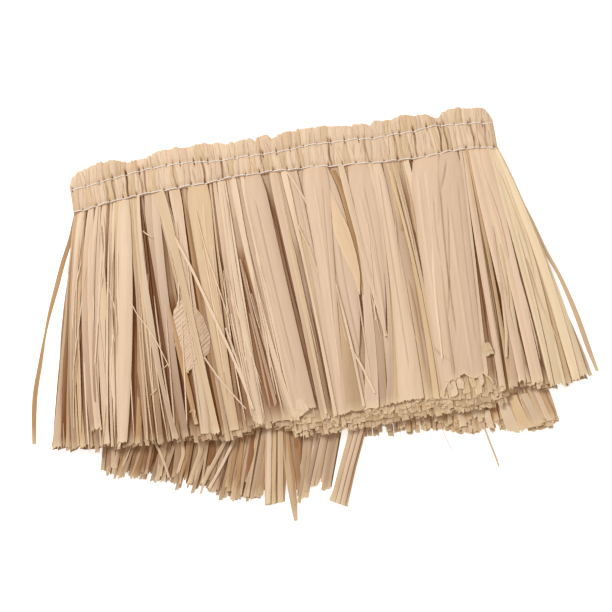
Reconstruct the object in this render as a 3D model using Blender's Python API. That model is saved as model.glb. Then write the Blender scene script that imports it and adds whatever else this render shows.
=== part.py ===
"""Grass skirt of raffia, laid flat on a table with its front on its back.

The frame: +X runs along the waistband to the right, +Y from the hem to the waist, +Z up from
the table. The origin is the middle of the waistband on the table, under its upper row of stitches.
Sizes below are in millimetres, and each mesh is turned to metres as it is made. "Down" is the
distance from the upper row of stitches towards the hem, so y is minus down.
"""

import math
import random

import bmesh
import bpy
import numpy as np

MM = 0.001
OBJECT_NAME = "grass_skirt"

# Gap between pieces that touch, across the height and along the waistband's lower edge
GAP = 0.4
SEAM_GAP = 0.5

# Waistband: raffia doubled over at the top, gathered and sewn through twice
BAND_COLUMNS = ("x", "top", "upper_row", "lower_row")
BAND = (
    (-151.0, -7.0, 0.2, 16.6),
    (-146.0, -12.0, 0.0, 16.3),
    (-136.0, -13.5, -0.8, 14.8),
    (-119.0, -14.5, -3.2, 13.0),
    (-100.0, -13.5, -5.0, 12.0),
    (-82.0, -16.5, -6.0, 11.5),
    (-62.0, -16.0, -5.0, 11.5),
    (-40.0, -14.5, -2.6, 10.6),
    (-14.0, -14.0, -2.8, 10.8),
    (10.0, -14.5, -2.4, 11.6),
    (40.0, -13.5, -2.8, 14.2),
    (64.0, -12.0, -1.4, 17.0),
    (92.0, -13.0, -0.8, 18.4),
    (113.0, -9.5, -1.4, 18.0),
    (130.0, -11.5, -0.6, 18.0),
    (143.0, -9.5, 0.6, 19.4),
    (150.0, -4.0, 1.4, 20.4),
)
BAND_BELOW_ROW = 2.5
FRONT_GATHERS = 62
BACK_GATHERS = 30
GATHER_HEIGHT = 1.1
GATHER_NOTCH = 1.5
GATHER_SCATTER = (0.5, 1.0)
NOTCH_SCATTER = (0.2, 1.0)
BACK_BAND_THICKNESS = 4.0
FRONT_BAND_THICKNESS = 6.2
STITCH_DIP = 1.2
BACK_BAND_INSET = 1.4
ROUNDED_GATHERS = 2.0
FOLD_UNDERCUT = 0.8
FOLD_HEIGHT_SHARE = 0.45
SHOULDER_BELOW_TOP = 2.2
SHOULDER_DROP = 0.4
SEAM_LIFT = 0.2

# Share of a gather's height that is left at the stitches, between the rows and at the lower edge
RISE_AT_STITCHES = 0.4
RISE_BETWEEN_ROWS = 0.9
RISE_AT_SEAM = 0.6

# Heights of the layers' faces at two distances down. Each face is flat between them.
LEVEL_DOWN = (14.0, 190.0)
BACK_BED_TOP = (2.8, 5.0)
BACK_STRANDS = (3.2, 5.4)
BACK_STRAND_THICKNESS = (1.0, 1.2)
FRONT_BED_BOTTOM = (4.6, 7.2)
FRONT_BED_TOP = (6.0, 10.8)
UNDER_STRANDS = (6.5, 11.4)
UNDER_STRAND_THICKNESS = (1.1, 1.3)
OVER_STRANDS = (8.0, 13.1)
OVER_STRAND_THICKNESS = (1.3, 1.5)
RIDGE = 0.35

# Where the back layers bend down to the table past the front's hem: down, height of their top
BACK_BEND = ((178.0, 0.0), (200.0, 2.2), (262.0, 1.0))
STRAND_STRIP = 2.2

# Fans of strands. Each row is where a group of locks starts at the band and ends at the hem,
# how far down it reaches, and how many locks stand between it and the next row.
FAN_COLUMNS = ("root", "knee", "hem", "reach", "locks")
FRONT_LEFT = (
    (-149.0, -182.0, -190.0, 181.0, 4),
    (-134.0, -157.0, -163.0, 185.0, 5),
    (-119.0, -136.0, -141.0, 188.0, 3),
    (-107.0, -112.0, -113.0, 191.0, 3),
    (-93.0, -80.0, -77.0, 194.0, 1),
    (-83.0, -68.0, -64.0, 194.0, 2),
    (-73.0, -61.0, -58.0, 192.0, 1),
    (-57.0, -47.0, -44.0, 190.0, 3),
    (-43.0, -35.0, -33.0, 189.0, 0),
)
FRONT_RIGHT = (
    (-41.0, -31.0, -27.0, 190.0, 1),
    (-37.0, -25.0, -20.0, 190.0, 1),
    (-14.0, -5.0, -2.0, 192.0, 3),
    (0.0, 8.0, 10.0, 193.0, 1),
    (11.0, 24.0, 27.0, 193.0, 1),
    (16.0, 28.0, 31.0, 194.0, 1),
    (29.0, 40.0, 42.0, 194.0, 3),
    (45.0, 51.0, 52.0, 194.0, 1),
    (59.0, 68.0, 70.0, 193.0, 4),
    (86.0, 85.0, 84.0, 181.0, 1),
    (111.0, 115.0, 117.0, 181.0, 1),
    (115.0, 120.0, 121.5, 195.0, 4),
    (131.0, 141.0, 144.0, 196.0, 5),
    (149.0, 179.0, 186.0, 190.0, 0),
)
FRONT_KNEE_DOWN = 150.0
FRONT_STRAND_BENDS = (34.0, 80.0, FRONT_KNEE_DOWN)
BACK_LEFT = (
    (-146.0, -138.0, -159.0, 205.0, 4),
    (-127.0, -117.0, -142.0, 210.0, 6),
    (-100.0, -84.0, -112.0, 220.0, 6),
    (-72.0, -54.0, -83.0, 233.0, 5),
    (-51.0, -35.0, -61.0, 241.0, 2),
    (-44.0, -28.0, -52.0, 247.0, 1),
    (-30.0, -14.0, -36.0, 258.0, 1),
    (-24.0, -8.0, -29.5, 241.0, 4),
    (-9.0, 6.0, -11.0, 239.0, 1),
    (-1.0, 15.0, -3.0, 238.0, 0),
)
BACK_MIDDLE = (
    (8.0, 56.0, -8.5, 253.0, 1),
    (24.0, 72.0, 5.5, 255.0, 0),
)
BACK_RIGHT = (
    (28.0, 78.0, 36.0, 213.0, 11),
    (78.0, 104.0, 90.0, 216.0, 9),
    (120.0, 126.0, 138.0, 221.0, 2),
    (134.0, 134.0, 150.0, 223.0, 2),
    (146.0, 143.0, 160.0, 221.0, 0),
)
BACK_KNEE_DOWN = 150.0
BACK_STRAND_BENDS = (60.0, BACK_KNEE_DOWN, BACK_BEND[0][0], BACK_BEND[1][0])

# How far the front's sides sink towards the table from the knee on, past the back that carries it
DROOP_COLUMNS = ("root", "fall")
DROOP = (
    (-149.0, 5.4),
    (-134.0, 0.0),
    (135.0, 0.0),
    (149.0, 5.0),
)

# Locks: shares of their place in the fan that they fill, thin out and stand apart, and their ends
LOCK_FILL = (0.76, 0.92)
LOCK_WIDTH_SCATTER = (0.7, 1.3)
LOCK_THINNING = (0.0, 0.3)
REACH_SCATTER = 3.0
LAST_BEND_TO_END = 8.0
ROOT_MARGIN = 0.08

# Loose strands that lie outside the fan: down, x, width and height of the lower side
LOOSE_LEFT = (
    (40.0, -158.5, 4.0, 7.0),
    (78.0, -178.0, 6.2, 3.5),
    (118.0, -192.0, 6.0, 1.6),
    (136.0, -196.0, 4.2, 0.8),
    (174.0, -203.5, 3.2, 0.6),
)
LOOSE_RIGHT = (
    (40.0, 159.5, 3.2, 7.4),
    (80.0, 172.5, 2.6, 4.0),
    (120.0, 182.0, 2.4, 1.8),
    (150.0, 187.5, 2.4, 0.9),
    (189.0, 193.5, 2.2, 0.6),
)
LOOSE_THICKNESS = 0.8

# Beds: the many strands that the outer ones hide, as one layered body for each side of the skirt
BED_INSET = 7.0
BED_STEPS = ((12.0, 1.5), (5.0, 1.2))
STEP_RUN = 0.6
STEP_CLEARANCE = 2.0
STEP_SCATTER = 1.0
FULL_STEP_HEIGHT = 4.0
BED_END_SCATTER = 1.5
BED_COLUMN_WIDTH = 5.0
FRONT_BED_BENDS = (60.0, 110.0, FRONT_KNEE_DOWN)
BACK_BED_BENDS = (60.0, 120.0, BACK_KNEE_DOWN, BACK_BEND[0][0], BACK_BEND[1][0])
BED_REACH_COLUMNS = ("hem", "reach")
FRONT_BED_REACH = (
    (-190.0, 180.0),
    (-40.0, 189.0),
    (-24.0, 200.0),
    (60.0, 204.0),
    (110.0, 205.0),
    (186.0, 190.0),
)
BACK_BED_REACH = (
    (-160.0, 197.0),
    (-142.0, 202.0),
    (-112.0, 212.0),
    (-83.0, 223.0),
    (-52.0, 227.0),
    (-12.0, 226.0),
    (-4.0, 206.0),
    (40.0, 206.0),
    (90.0, 208.0),
    (138.0, 213.0),
    (160.0, 213.0),
)

# Seeds of the scatter in each piece
SEEDS = {
    "waistband_back": 3,
    "waistband_front": 5,
    "back_bed": 7,
    "back_fringe": 11,
    "front_bed": 13,
    "under": 17,
    "over": 19,
}

LIGHT_RAFFIA = (0.80, 0.63, 0.45, 1.0)
BAND_RAFFIA = (0.78, 0.60, 0.43, 1.0)
SHADED_RAFFIA = (0.52, 0.35, 0.21, 1.0)
RAFFIA_ROUGHNESS = 0.55


def column(table, names, name):
    """One named column of a table, as an array."""
    return np.array([row[names.index(name)] for row in table], float)


def band_at(x, name):
    """The waistband's value of this name at x."""
    return np.interp(x, column(BAND, BAND_COLUMNS, "x"), column(BAND, BAND_COLUMNS, name))


def seam_at(x):
    """How far down the waistband's lower edge lies at x."""
    return band_at(x, "lower_row") + BAND_BELOW_ROW


def level(pair, down):
    """Height at this distance down on the plane through the two heights at LEVEL_DOWN."""
    slope = (pair[1] - pair[0]) / (LEVEL_DOWN[1] - LEVEL_DOWN[0])
    return pair[0] + slope * (down - LEVEL_DOWN[0])


def bent_level(pair, down, lift=0.0):
    """As level, but bending down to the table past the front's hem, with lift above that bend."""
    first = BACK_BEND[0][0]
    if down <= first:
        return level(pair, down)
    heights = [level(pair, first)] + [height + lift for _, height in BACK_BEND[1:]]
    return float(np.interp(down, [row[0] for row in BACK_BEND], heights))


def no_droop(root, down):
    """The back lies flat on the table all over."""
    return 0.0


def front_droop(root, down):
    """How far the front sinks at this distance down, on the strand that starts at root."""
    grown = (down - LEVEL_DOWN[0]) / (FRONT_KNEE_DOWN - LEVEL_DOWN[0])
    fall = np.interp(root, column(DROOP, DROOP_COLUMNS, "root"), column(DROOP, DROOP_COLUMNS, "fall"))
    return float(fall) * min(1.0, max(0.0, grown))


def new_material(name, colour):
    material = bpy.data.materials.new(name)
    material.use_nodes = True
    shader = material.node_tree.nodes["Principled BSDF"]
    shader.inputs["Base Color"].default_value = colour
    shader.inputs["Roughness"].default_value = RAFFIA_ROUGHNESS
    shader.inputs["Metallic"].default_value = 0.0
    return material


def new_object(name, mesh_builder, colour, collection):
    """Makes the object of a finished bmesh, with its own material."""
    bmesh.ops.recalc_face_normals(mesh_builder, faces=mesh_builder.faces)
    mesh = bpy.data.meshes.new(name)
    mesh_builder.to_mesh(mesh)
    mesh_builder.free()
    mesh.materials.append(new_material(name + "_raffia", colour))
    made = bpy.data.objects.new(name, mesh)
    collection.objects.link(made)
    return made


def point(x, down, height):
    """A point in metres from its millimetres along the band, down to the hem and up."""
    return (x * MM, -down * MM, height * MM)


def loft(rings):
    """A closed body through sections of (x, down, height), all with as many points, and its two caps."""
    builder = bmesh.new()
    rows = [[builder.verts.new(point(*corner)) for corner in ring] for ring in rings]
    for left, right in zip(rows, rows[1:]):
        for k, corner in enumerate(left):
            j = (k + 1) % len(left)
            builder.faces.new((corner, left[j], right[j], right[k]))
    builder.faces.new(rows[0])
    builder.faces.new(rows[-1])
    return builder


def waistband(bottom, thickness, inset, gathers, seed):
    """A flat-bottomed band whose top is gathered: ridges between notches, dipping at both stitch rows."""
    scatter = random.Random(seed)
    first, last = BAND[0][0] + inset, BAND[-1][0] - inset
    rings = []
    for i in range(2 * gathers + 1):
        ridge = i % 2
        x = first + (last - first) * i / (2 * gathers)
        at_end = min(i, 2 * gathers - i) / 2
        round_off = math.sqrt(min(1.0, (at_end + 0.5) / ROUNDED_GATHERS))
        rise = GATHER_HEIGHT * (ridge * scatter.uniform(*GATHER_SCATTER) - 0.5)
        top = band_at(x, "top") + inset + (1 - ridge) * GATHER_NOTCH * scatter.uniform(*NOTCH_SCATTER)
        upper = band_at(x, "upper_row")
        lower = band_at(x, "lower_row")
        seam = seam_at(x)
        high = bottom + (thickness - 0.5 * GATHER_HEIGHT) * round_off
        dip = high - STITCH_DIP * round_off
        rings.append(
            (
                (x, top + FOLD_UNDERCUT, bottom),
                (x, top, bottom + FOLD_HEIGHT_SHARE * thickness * round_off),
                (x, top + SHOULDER_BELOW_TOP, high - SHOULDER_DROP + rise),
                (x, 0.5 * (top + upper), high + rise),
                (x, upper, dip + RISE_AT_STITCHES * rise),
                (x, 0.5 * (upper + lower), high + RISE_BETWEEN_ROWS * rise),
                (x, lower, dip + RISE_AT_STITCHES * rise),
                (x, seam, dip + SEAM_LIFT + RISE_AT_SEAM * rise),
                (x, seam, bottom),
            )
        )
    return loft(rings)


def fan_cells(table, scatter):
    """The locks of a fan: their left and right edges at the band, the knee and the hem, and their reach."""
    cells = []
    for row, following in zip(table, table[1:]):
        *starts, reach, locks = row
        *ends, next_reach, _ = following
        shares = [scatter.uniform(*LOCK_WIDTH_SCATTER) for _ in range(locks)]
        marks = np.concatenate([[0.0], np.cumsum(shares) / sum(shares)])
        for sides in zip(marks, marks[1:]):
            edges = [[start + (end - start) * side for side in sides] for start, end in zip(starts, ends)]
            cells.append((edges, reach + (next_reach - reach) * 0.5 * (sides[0] + sides[1])))
    return cells


def fan_x(root, knee, hem, down, knee_down, reach):
    """Where the line of a fan from root over knee to hem lies at this distance down."""
    if down > knee_down:
        return knee + (hem - knee) * (down - knee_down) / (reach - knee_down)
    start = seam_at(root)
    return root + (knee - root) * (down - start) / (knee_down - start)


def lock_sections(edges, reach, bends, knee_down, low, high, droop, scatter):
    """The sections of one lock from the band to the hem: down, then (x, low, high) of its two sides."""
    fill = scatter.uniform(*LOCK_FILL)
    thin = scatter.uniform(*LOCK_THINNING)
    aside = scatter.uniform(-0.5, 0.5) * (1 - fill)
    shares = (0.5 + aside - 0.5 * fill, 0.5 + aside + 0.5 * fill)
    end = reach + scatter.uniform(-REACH_SCATTER, REACH_SCATTER)
    sections = []
    for down in [bend for bend in bends if bend < end - LAST_BEND_TO_END] + [end]:
        sides = []
        for share in shares:
            root, knee, hem = [left + (right - left) * share for left, right in edges]
            bottom = low(down) - droop(root, down)
            top = high(down) - droop(root, down)
            x = fan_x(root, knee, hem, down, knee_down, reach)
            sides.append((x, bottom, top - thin * (top - bottom)))
        sections.append((down, *sides))
    return sections


def loose_sections(table):
    """The sections of a loose strand, from its table."""
    return [
        (
            down,
            (x - 0.5 * width, low, low + LOOSE_THICKNESS),
            (x + 0.5 * width, low, low + LOOSE_THICKNESS),
        )
        for down, x, width, low in table
    ]


def comb(locks, low, high):
    """A narrow strip along the waistband's lower edge, with each lock drawn out of its front."""
    stations = sorted({edge for root, _ in locks for edge in root})
    rings = []
    for x in stations:
        near = seam_at(x) + SEAM_GAP
        far = near + STRAND_STRIP
        rings.append(((x, near, low(near)), (x, near, high(near)), (x, far, high(far)), (x, far, low(far))))
    builder = loft(rings)
    builder.faces.ensure_lookup_table()
    # The third side of each stretch of the strip is its front, as loft lays the four sides in turn
    fronts = {(a, b): builder.faces[4 * i + 2] for i, (a, b) in enumerate(zip(stations, stations[1:]))}
    for root, sections in locks:
        face = fronts[root]
        for down, left, right in sections:
            middle_x = sum(corner.co.x for corner in face.verts) / 4
            middle_z = {
                side: sum(corner.co.z for corner in face.verts if (corner.co.x > middle_x) == side) / 2
                for side in (False, True)
            }
            face = bmesh.ops.extrude_discrete_faces(builder, faces=[face])["faces"][0]
            for corner in face.verts:
                on_right = corner.co.x > middle_x
                x, bottom, top = right if on_right else left
                corner.co = point(x, down, top if corner.co.z > middle_z[on_right] else bottom)
    return builder


def fringe(tables, bends, knee_down, low, high, droop, seed, loose=()):
    """A comb of the locks of one or more fans, with loose strands beside them."""
    scatter = random.Random(seed)
    locks = []
    for table in tables:
        for edges, reach in fan_cells(table, scatter):
            left, right = edges[0]
            margin = ROOT_MARGIN * (right - left)
            sections = lock_sections(edges, reach, bends, knee_down, low, high, droop, scatter)
            locks.append(((left + margin, right - margin), sections))
    for root, table in loose:
        locks.append((root, loose_sections(table)))
    return comb(locks, low, high)


def bed(tables, knee_down, bottom, top, bends, bed_reach, droop, seed):
    """The hidden strands of one side: a flat-bottomed body, ridged on top and cut in steps at the hem."""
    scatter = random.Random(seed)
    rows = [row for table in tables for row in table]
    roots, knees, hems, reaches = [column(rows, FAN_COLUMNS, name) for name in FAN_COLUMNS[:4]]
    ends = [column(bed_reach, BED_REACH_COLUMNS, name) for name in BED_REACH_COLUMNS]
    first, last = hems[0] + BED_INSET, hems[-1] - BED_INSET
    count = int((last - first) / BED_COLUMN_WIDTH)
    rings = []
    for i in range(count + 1):
        hem = first + (last - first) * i / count
        root, knee, reach = [float(np.interp(hem, hems, values)) for values in (roots, knees, reaches)]
        end = np.interp(hem, *ends) + scatter.uniform(-BED_END_SCATTER, BED_END_SCATTER)
        start = seam_at(root) + SEAM_GAP
        ridge = RIDGE * ((i % 2) - 1)
        before_steps = end - BED_STEPS[0][0] - STEP_CLEARANCE

        def corner(down, height, root=root, knee=knee, hem=hem, reach=reach):
            return (fan_x(root, knee, hem, down, knee_down, reach), down, height - droop(root, down))

        ring = [corner(start, bottom(start)), corner(start, top(start) + ridge)]
        for bend in bends:
            held = min(bend, before_steps)
            ring.append(corner(held, top(held) + ridge))
        fallen = 0.0
        for before_end, fall in BED_STEPS:
            edge = end - before_end + scatter.uniform(-STEP_SCATTER, STEP_SCATTER)
            ring.append(corner(edge, top(edge) - fallen + ridge))
            fallen += fall * min(1.0, (top(edge) - bottom(edge)) / FULL_STEP_HEIGHT)
            ring.append(corner(edge + STEP_RUN, top(edge) - fallen + ridge))
        ring.append(corner(end, top(end) - fallen + ridge))
        ring.append(corner(end, bottom(end)))
        rings.append(ring)
    return loft(rings)


def build_waistbands(collection):
    """The two gathered headings, front on back."""
    bottom = 0.0
    sizes = (
        ("waistband_back", BACK_BAND_THICKNESS, BACK_BAND_INSET, BACK_GATHERS),
        ("waistband_front", FRONT_BAND_THICKNESS, 0.0, FRONT_GATHERS),
    )
    for name, thickness, inset, gathers in sizes:
        new_object(name, waistband(bottom, thickness, inset, gathers, SEEDS[name]), BAND_RAFFIA, collection)
        bottom += thickness + GAP


def build_back(collection):
    """The back of the skirt, flat on the table: its bed and the strands whose ends show past the front."""
    new_object(
        "back_bed",
        bed(
            (BACK_LEFT, BACK_RIGHT),
            BACK_KNEE_DOWN,
            lambda down: 0.0,
            lambda down: bent_level(BACK_BED_TOP, down),
            BACK_BED_BENDS,
            BACK_BED_REACH,
            no_droop,
            SEEDS["back_bed"],
        ),
        SHADED_RAFFIA,
        collection,
    )
    lift = BACK_STRANDS[0] - BACK_BED_TOP[0] + GAP
    new_object(
        "back_fringe",
        fringe(
            (BACK_LEFT, BACK_MIDDLE, BACK_RIGHT),
            BACK_STRAND_BENDS,
            BACK_KNEE_DOWN,
            lambda down: bent_level(BACK_STRANDS, down, lift),
            lambda down: bent_level(BACK_STRANDS, down, lift) + level(BACK_STRAND_THICKNESS, down),
            no_droop,
            SEEDS["back_fringe"],
        ),
        SHADED_RAFFIA,
        collection,
    )


def build_front(collection):
    """The front of the skirt: its bed, then an under and an over layer of strands in two sections."""
    new_object(
        "front_bed",
        bed(
            (FRONT_LEFT, FRONT_RIGHT),
            FRONT_KNEE_DOWN,
            lambda down: level(FRONT_BED_BOTTOM, down),
            lambda down: level(FRONT_BED_TOP, down),
            FRONT_BED_BENDS,
            FRONT_BED_REACH,
            front_droop,
            SEEDS["front_bed"],
        ),
        SHADED_RAFFIA,
        collection,
    )
    layers = (
        ("under", UNDER_STRANDS, UNDER_STRAND_THICKNESS),
        ("over", OVER_STRANDS, OVER_STRAND_THICKNESS),
    )
    sides = (
        ("left", FRONT_LEFT, ((-151.5, -149.5), LOOSE_LEFT)),
        ("right", FRONT_RIGHT, ((149.6, 151.4), LOOSE_RIGHT)),
    )
    for layer, heights, thickness in layers:
        for side, table, loose in sides:
            new_object(
                f"front_fringe_{side}_{layer}",
                fringe(
                    (table,),
                    FRONT_STRAND_BENDS,
                    FRONT_KNEE_DOWN,
                    lambda down: level(heights, down),
                    lambda down: level(heights, down) + level(thickness, down),
                    front_droop,
                    SEEDS[layer],
                    (loose,) if layer == "over" else (),
                ),
                LIGHT_RAFFIA,
                collection,
            )


def main():
    for old in list(bpy.data.objects):
        bpy.data.objects.remove(old, do_unlink=True)
    collection = bpy.data.collections.new(OBJECT_NAME)
    bpy.context.scene.collection.children.link(collection)
    build_waistbands(collection)
    build_back(collection)
    build_front(collection)


main()
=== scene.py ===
"""Raffia grass skirt laid flat, front on back, as seen from above the hem in soft studio light.

Lengths are in millimetres until a mesh is made. x runs along the waistband, "down" is the
distance from the upper row of stitches towards the hem, and height is above the table.
"""

import math

import bpy
import numpy as np
from mathutils import Matrix, Vector


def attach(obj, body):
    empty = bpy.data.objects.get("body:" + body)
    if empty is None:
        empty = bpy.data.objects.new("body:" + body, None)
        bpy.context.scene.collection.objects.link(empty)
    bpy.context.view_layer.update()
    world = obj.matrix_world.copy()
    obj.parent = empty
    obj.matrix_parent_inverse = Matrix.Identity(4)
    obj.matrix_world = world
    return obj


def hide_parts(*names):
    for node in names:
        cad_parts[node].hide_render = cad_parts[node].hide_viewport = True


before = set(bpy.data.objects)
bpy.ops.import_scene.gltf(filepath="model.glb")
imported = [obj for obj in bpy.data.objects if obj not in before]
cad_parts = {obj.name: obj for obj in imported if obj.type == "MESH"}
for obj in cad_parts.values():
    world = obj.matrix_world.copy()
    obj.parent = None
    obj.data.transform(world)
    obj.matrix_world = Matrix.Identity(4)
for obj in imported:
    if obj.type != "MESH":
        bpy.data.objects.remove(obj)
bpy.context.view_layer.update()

# The photograph's place: a camera high above the skirt, a little towards its hem, and turned
# so that the waistband climbs to the right. A long lens keeps the width true across the frame.
MM = 0.001
IMAGE_PIXELS = 612
PIXEL_MM = 0.7
BAND_CLIMB = math.radians(9.4)
CAMERA_LEAN = math.radians(12.0)
CAMERA_DISTANCE = 1.9
CAMERA_AIM = Vector((-0.0002, -0.1109, 0.008))
SENSOR_MM = 36.0
FARTHEST_SEEN = 20.0

camera_data = bpy.data.cameras.new("camera")
camera_data.sensor_width = SENSOR_MM
camera_data.lens = SENSOR_MM * CAMERA_DISTANCE / (IMAGE_PIXELS * PIXEL_MM * MM)
camera_data.clip_end = FARTHEST_SEEN
camera = bpy.data.objects.new("camera", camera_data)
bpy.context.scene.collection.objects.link(camera)
bpy.context.scene.camera = camera
leaning = Matrix.Rotation(CAMERA_LEAN, 4, "X")
rolling = Matrix.Rotation(-BAND_CLIMB, 4, "Z")
raised = Matrix.Translation((0, 0, CAMERA_DISTANCE))
camera.matrix_world = Matrix.Translation(CAMERA_AIM) @ leaning @ rolling @ raised

# The studio: a seamless white table lit by a broad soft box from the waist's side, a weaker
# fill from the hem's side and an even white surround. The table is matt paper that glows a
# little, as an overexposed background does.
WHITE = (1.0, 1.0, 1.0, 1.0)
TABLE_WHITE = "#F4F4F3"
TABLE_ROUGHNESS = 0.9
TABLE_SHINE = 0.1
TABLE_GLOW = 0.66
TABLE_HALF = 3.0
SURROUND_STRENGTH = 0.44


def srgb(code):
    """The linear colour of a hex code: each channel's 8 bits through the sRGB curve."""
    channels = [int(code[i : i + 2], 16) / 255 for i in (1, 3, 5)]
    return [c / 12.92 if c <= 0.04045 else ((c + 0.055) / 1.055) ** 2.4 for c in channels]


def set_inputs(node, inputs):
    """Sets a node's constant inputs, each by its name or number."""
    for socket, value in inputs.items():
        node.inputs[socket].default_value = value


def new_material(name, inputs):
    """A new material with these constants on its shader, and the shader."""
    material = bpy.data.materials.new(name)
    material.use_nodes = True
    shader = material.node_tree.nodes["Principled BSDF"]
    set_inputs(shader, inputs)
    return material, shader


table_material, _ = new_material(
    "matt_white_paper",
    {
        "Base Color": (*srgb(TABLE_WHITE), 1.0),
        "Roughness": TABLE_ROUGHNESS,
        "Specular IOR Level": TABLE_SHINE,
        "Emission Color": WHITE,
        "Emission Strength": TABLE_GLOW,
    },
)
table_corners = [(x * TABLE_HALF, y * TABLE_HALF, 0) for x, y in ((-1, -1), (1, -1), (1, 1), (-1, 1))]
table_mesh = bpy.data.meshes.new("table")
table_mesh.from_pydata(table_corners, [], [(0, 1, 2, 3)])
table_mesh.materials.append(table_material)
table = bpy.data.objects.new("table", table_mesh)
bpy.context.scene.collection.objects.link(table)

# Each light's name, its place and size in metres, and its power in watts
LIGHTS = (
    ("soft_box", (-0.78, 0.64, 1.62), 0.7, 26.0),
    ("fill", (0.6, -0.9, 1.1), 1.2, 2.4),
)
for name, place, size, power in LIGHTS:
    light_data = bpy.data.lights.new(name, "AREA")
    light_data.shape = "SQUARE"
    light_data.size = size
    light_data.energy = power
    light = bpy.data.objects.new(name, light_data)
    light.location = place
    light.rotation_euler = (CAMERA_AIM - Vector(place)).to_track_quat("-Z", "Y").to_euler()
    bpy.context.scene.collection.objects.link(light)

surround = bpy.data.worlds.new("surround")
surround.use_nodes = True
set_inputs(surround.node_tree.nodes["Background"], {"Color": WHITE, "Strength": SURROUND_STRENGTH})
bpy.context.scene.world = surround
bpy.context.scene.view_settings.view_transform = "Standard"

# Raffia: the dried skin of a palm leaf, split lengthwise into flat straw-coloured strands. It has
# a soft satin face, fine fibres along it a few tenths of a millimetre apart, and a paler, frayed
# cut end. Each strand has its own tint, and those deep in the pile are painted in brown shade.
RAFFIA_TINTS = {
    "light": "#DDC5A8",
    "cream": "#E4CFAD",
    "beige": "#D3B896",
    "pink": "#DBBFA4",
    "gold": "#D9BC94",
    "grey": "#D5BCA2",
    "tan": "#BE986D",
    "brown": "#9A6E46",
}
PLAIN_TINTS = ("light", "beige", "pink", "light", "beige", "light", "pink", "gold")
DEEP_SHADE = (0.25, 0.12, 0.05)
# A faint warm brown glow is painted on all raffia as emission. It stands in for light that soaks through the
# thin leaf and bounces between strands, so that its shade looks warm.
PAINTED_GLOW = "#B87A42"
RAFFIA_SHADER = {"IOR": 1.45, "Roughness": 0.5, "Specular IOR Level": 0.3, "Emission Strength": 0.10}

# The grain: how wide and long in millimetres its fibres, streaks and crumples are, each noise's
# detail and roughness, and how far it is turned. The real fibres are finer, and are drawn as coarse
# as they need to be to show. With the streaks they darken the strand over TONE_RANGE.
FIBRES = (0.6, 45.0, 2.0, 0.6, 0.0)
STREAKS = (3.2, 80.0, 3.0, 0.6, 0.0)
CRUMPLES = (4.5, 22.0, 2.0, 0.5, 0.25)
FIBRE_SHARE = 0.4
TONE_RANGE = (0.42, 0.98)
FIBRE_SHADE = (0.955, 0.92, 0.875)
CRUMPLE_BUMP = {"Strength": 0.4, "Distance": 0.0014}
FIBRE_BUMP = {"Strength": 0.15, "Distance": 0.0003}

# A colour mix node's sockets by number: its factor, both its colours and its result
FACTOR, FIRST, SECOND, MIXED = 0, 6, 7, 2


def add_node(material, kind, inputs, links, **settings):
    """Adds a node: settings are its attributes, inputs its constants, and links feed its other inputs."""
    node = material.node_tree.nodes.new(kind)
    for key, value in settings.items():
        setattr(node, key, value)
    set_inputs(node, inputs)
    for socket, source in links.items():
        material.node_tree.links.new(source, node.inputs[socket])
    return node


def raffia_material(name):
    """Split raffia: its colour is the strand's tint attribute, whose alpha is painted shade towards
    DEEP_SHADE, and fibres follow its UV in millimetres.
    """
    material, shader = new_material(name, {**RAFFIA_SHADER, "Emission Color": (*srgb(PAINTED_GLOW), 1.0)})
    uv = add_node(material, "ShaderNodeUVMap", {}, {}, uv_map="strand")
    tint = add_node(material, "ShaderNodeAttribute", {}, {}, attribute_name="tint")
    noises = []
    for width, length, detail, roughness, turn in (FIBRES, STREAKS, CRUMPLES):
        placing = {"Scale": (1 / width, 1 / length, 1.0), "Rotation": (0.0, 0.0, turn)}
        placed = add_node(material, "ShaderNodeMapping", placing, {"Vector": uv.outputs["UV"]})
        grain = {"Scale": 1.0, "Detail": detail, "Roughness": roughness}
        noises.append(add_node(material, "ShaderNodeTexNoise", grain, {"Vector": placed.outputs["Vector"]}))
    fibres, streaks, crumples = noises
    sources = {0: fibres.outputs["Fac"], 2: streaks.outputs["Fac"]}
    both = add_node(material, "ShaderNodeMath", {1: FIBRE_SHARE}, sources, operation="MULTIPLY_ADD")
    ends = {"From Min": TONE_RANGE[0], "From Max": TONE_RANGE[1], "To Min": 0.0, "To Max": 1.0}
    tone = add_node(material, "ShaderNodeMapRange", ends, {"Value": both.outputs["Value"]})
    darker = add_node(
        material,
        "ShaderNodeMix",
        {FACTOR: 1.0, SECOND: (*FIBRE_SHADE, 1.0)},
        {FIRST: tint.outputs["Color"]},
        data_type="RGBA",
        blend_type="MULTIPLY",
    )
    sources = {FACTOR: tone.outputs["Result"], FIRST: darker.outputs[MIXED], SECOND: tint.outputs["Color"]}
    fibred = add_node(material, "ShaderNodeMix", {}, sources, data_type="RGBA")
    shaded = add_node(
        material,
        "ShaderNodeMix",
        {SECOND: (*DEEP_SHADE, 1.0)},
        {FACTOR: tint.outputs["Alpha"], FIRST: fibred.outputs[MIXED]},
        data_type="RGBA",
        blend_type="MULTIPLY",
    )
    waves = add_node(material, "ShaderNodeBump", CRUMPLE_BUMP, {"Height": crumples.outputs["Fac"]})
    sources = {"Height": both.outputs["Value"], "Normal": waves.outputs["Normal"]}
    bump = add_node(material, "ShaderNodeBump", FIBRE_BUMP, sources)
    material.node_tree.links.new(shaded.outputs[MIXED], shader.inputs["Base Color"])
    material.node_tree.links.new(bump.outputs["Normal"], shader.inputs["Normal"])
    return material


split_raffia = raffia_material("split_raffia")

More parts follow.
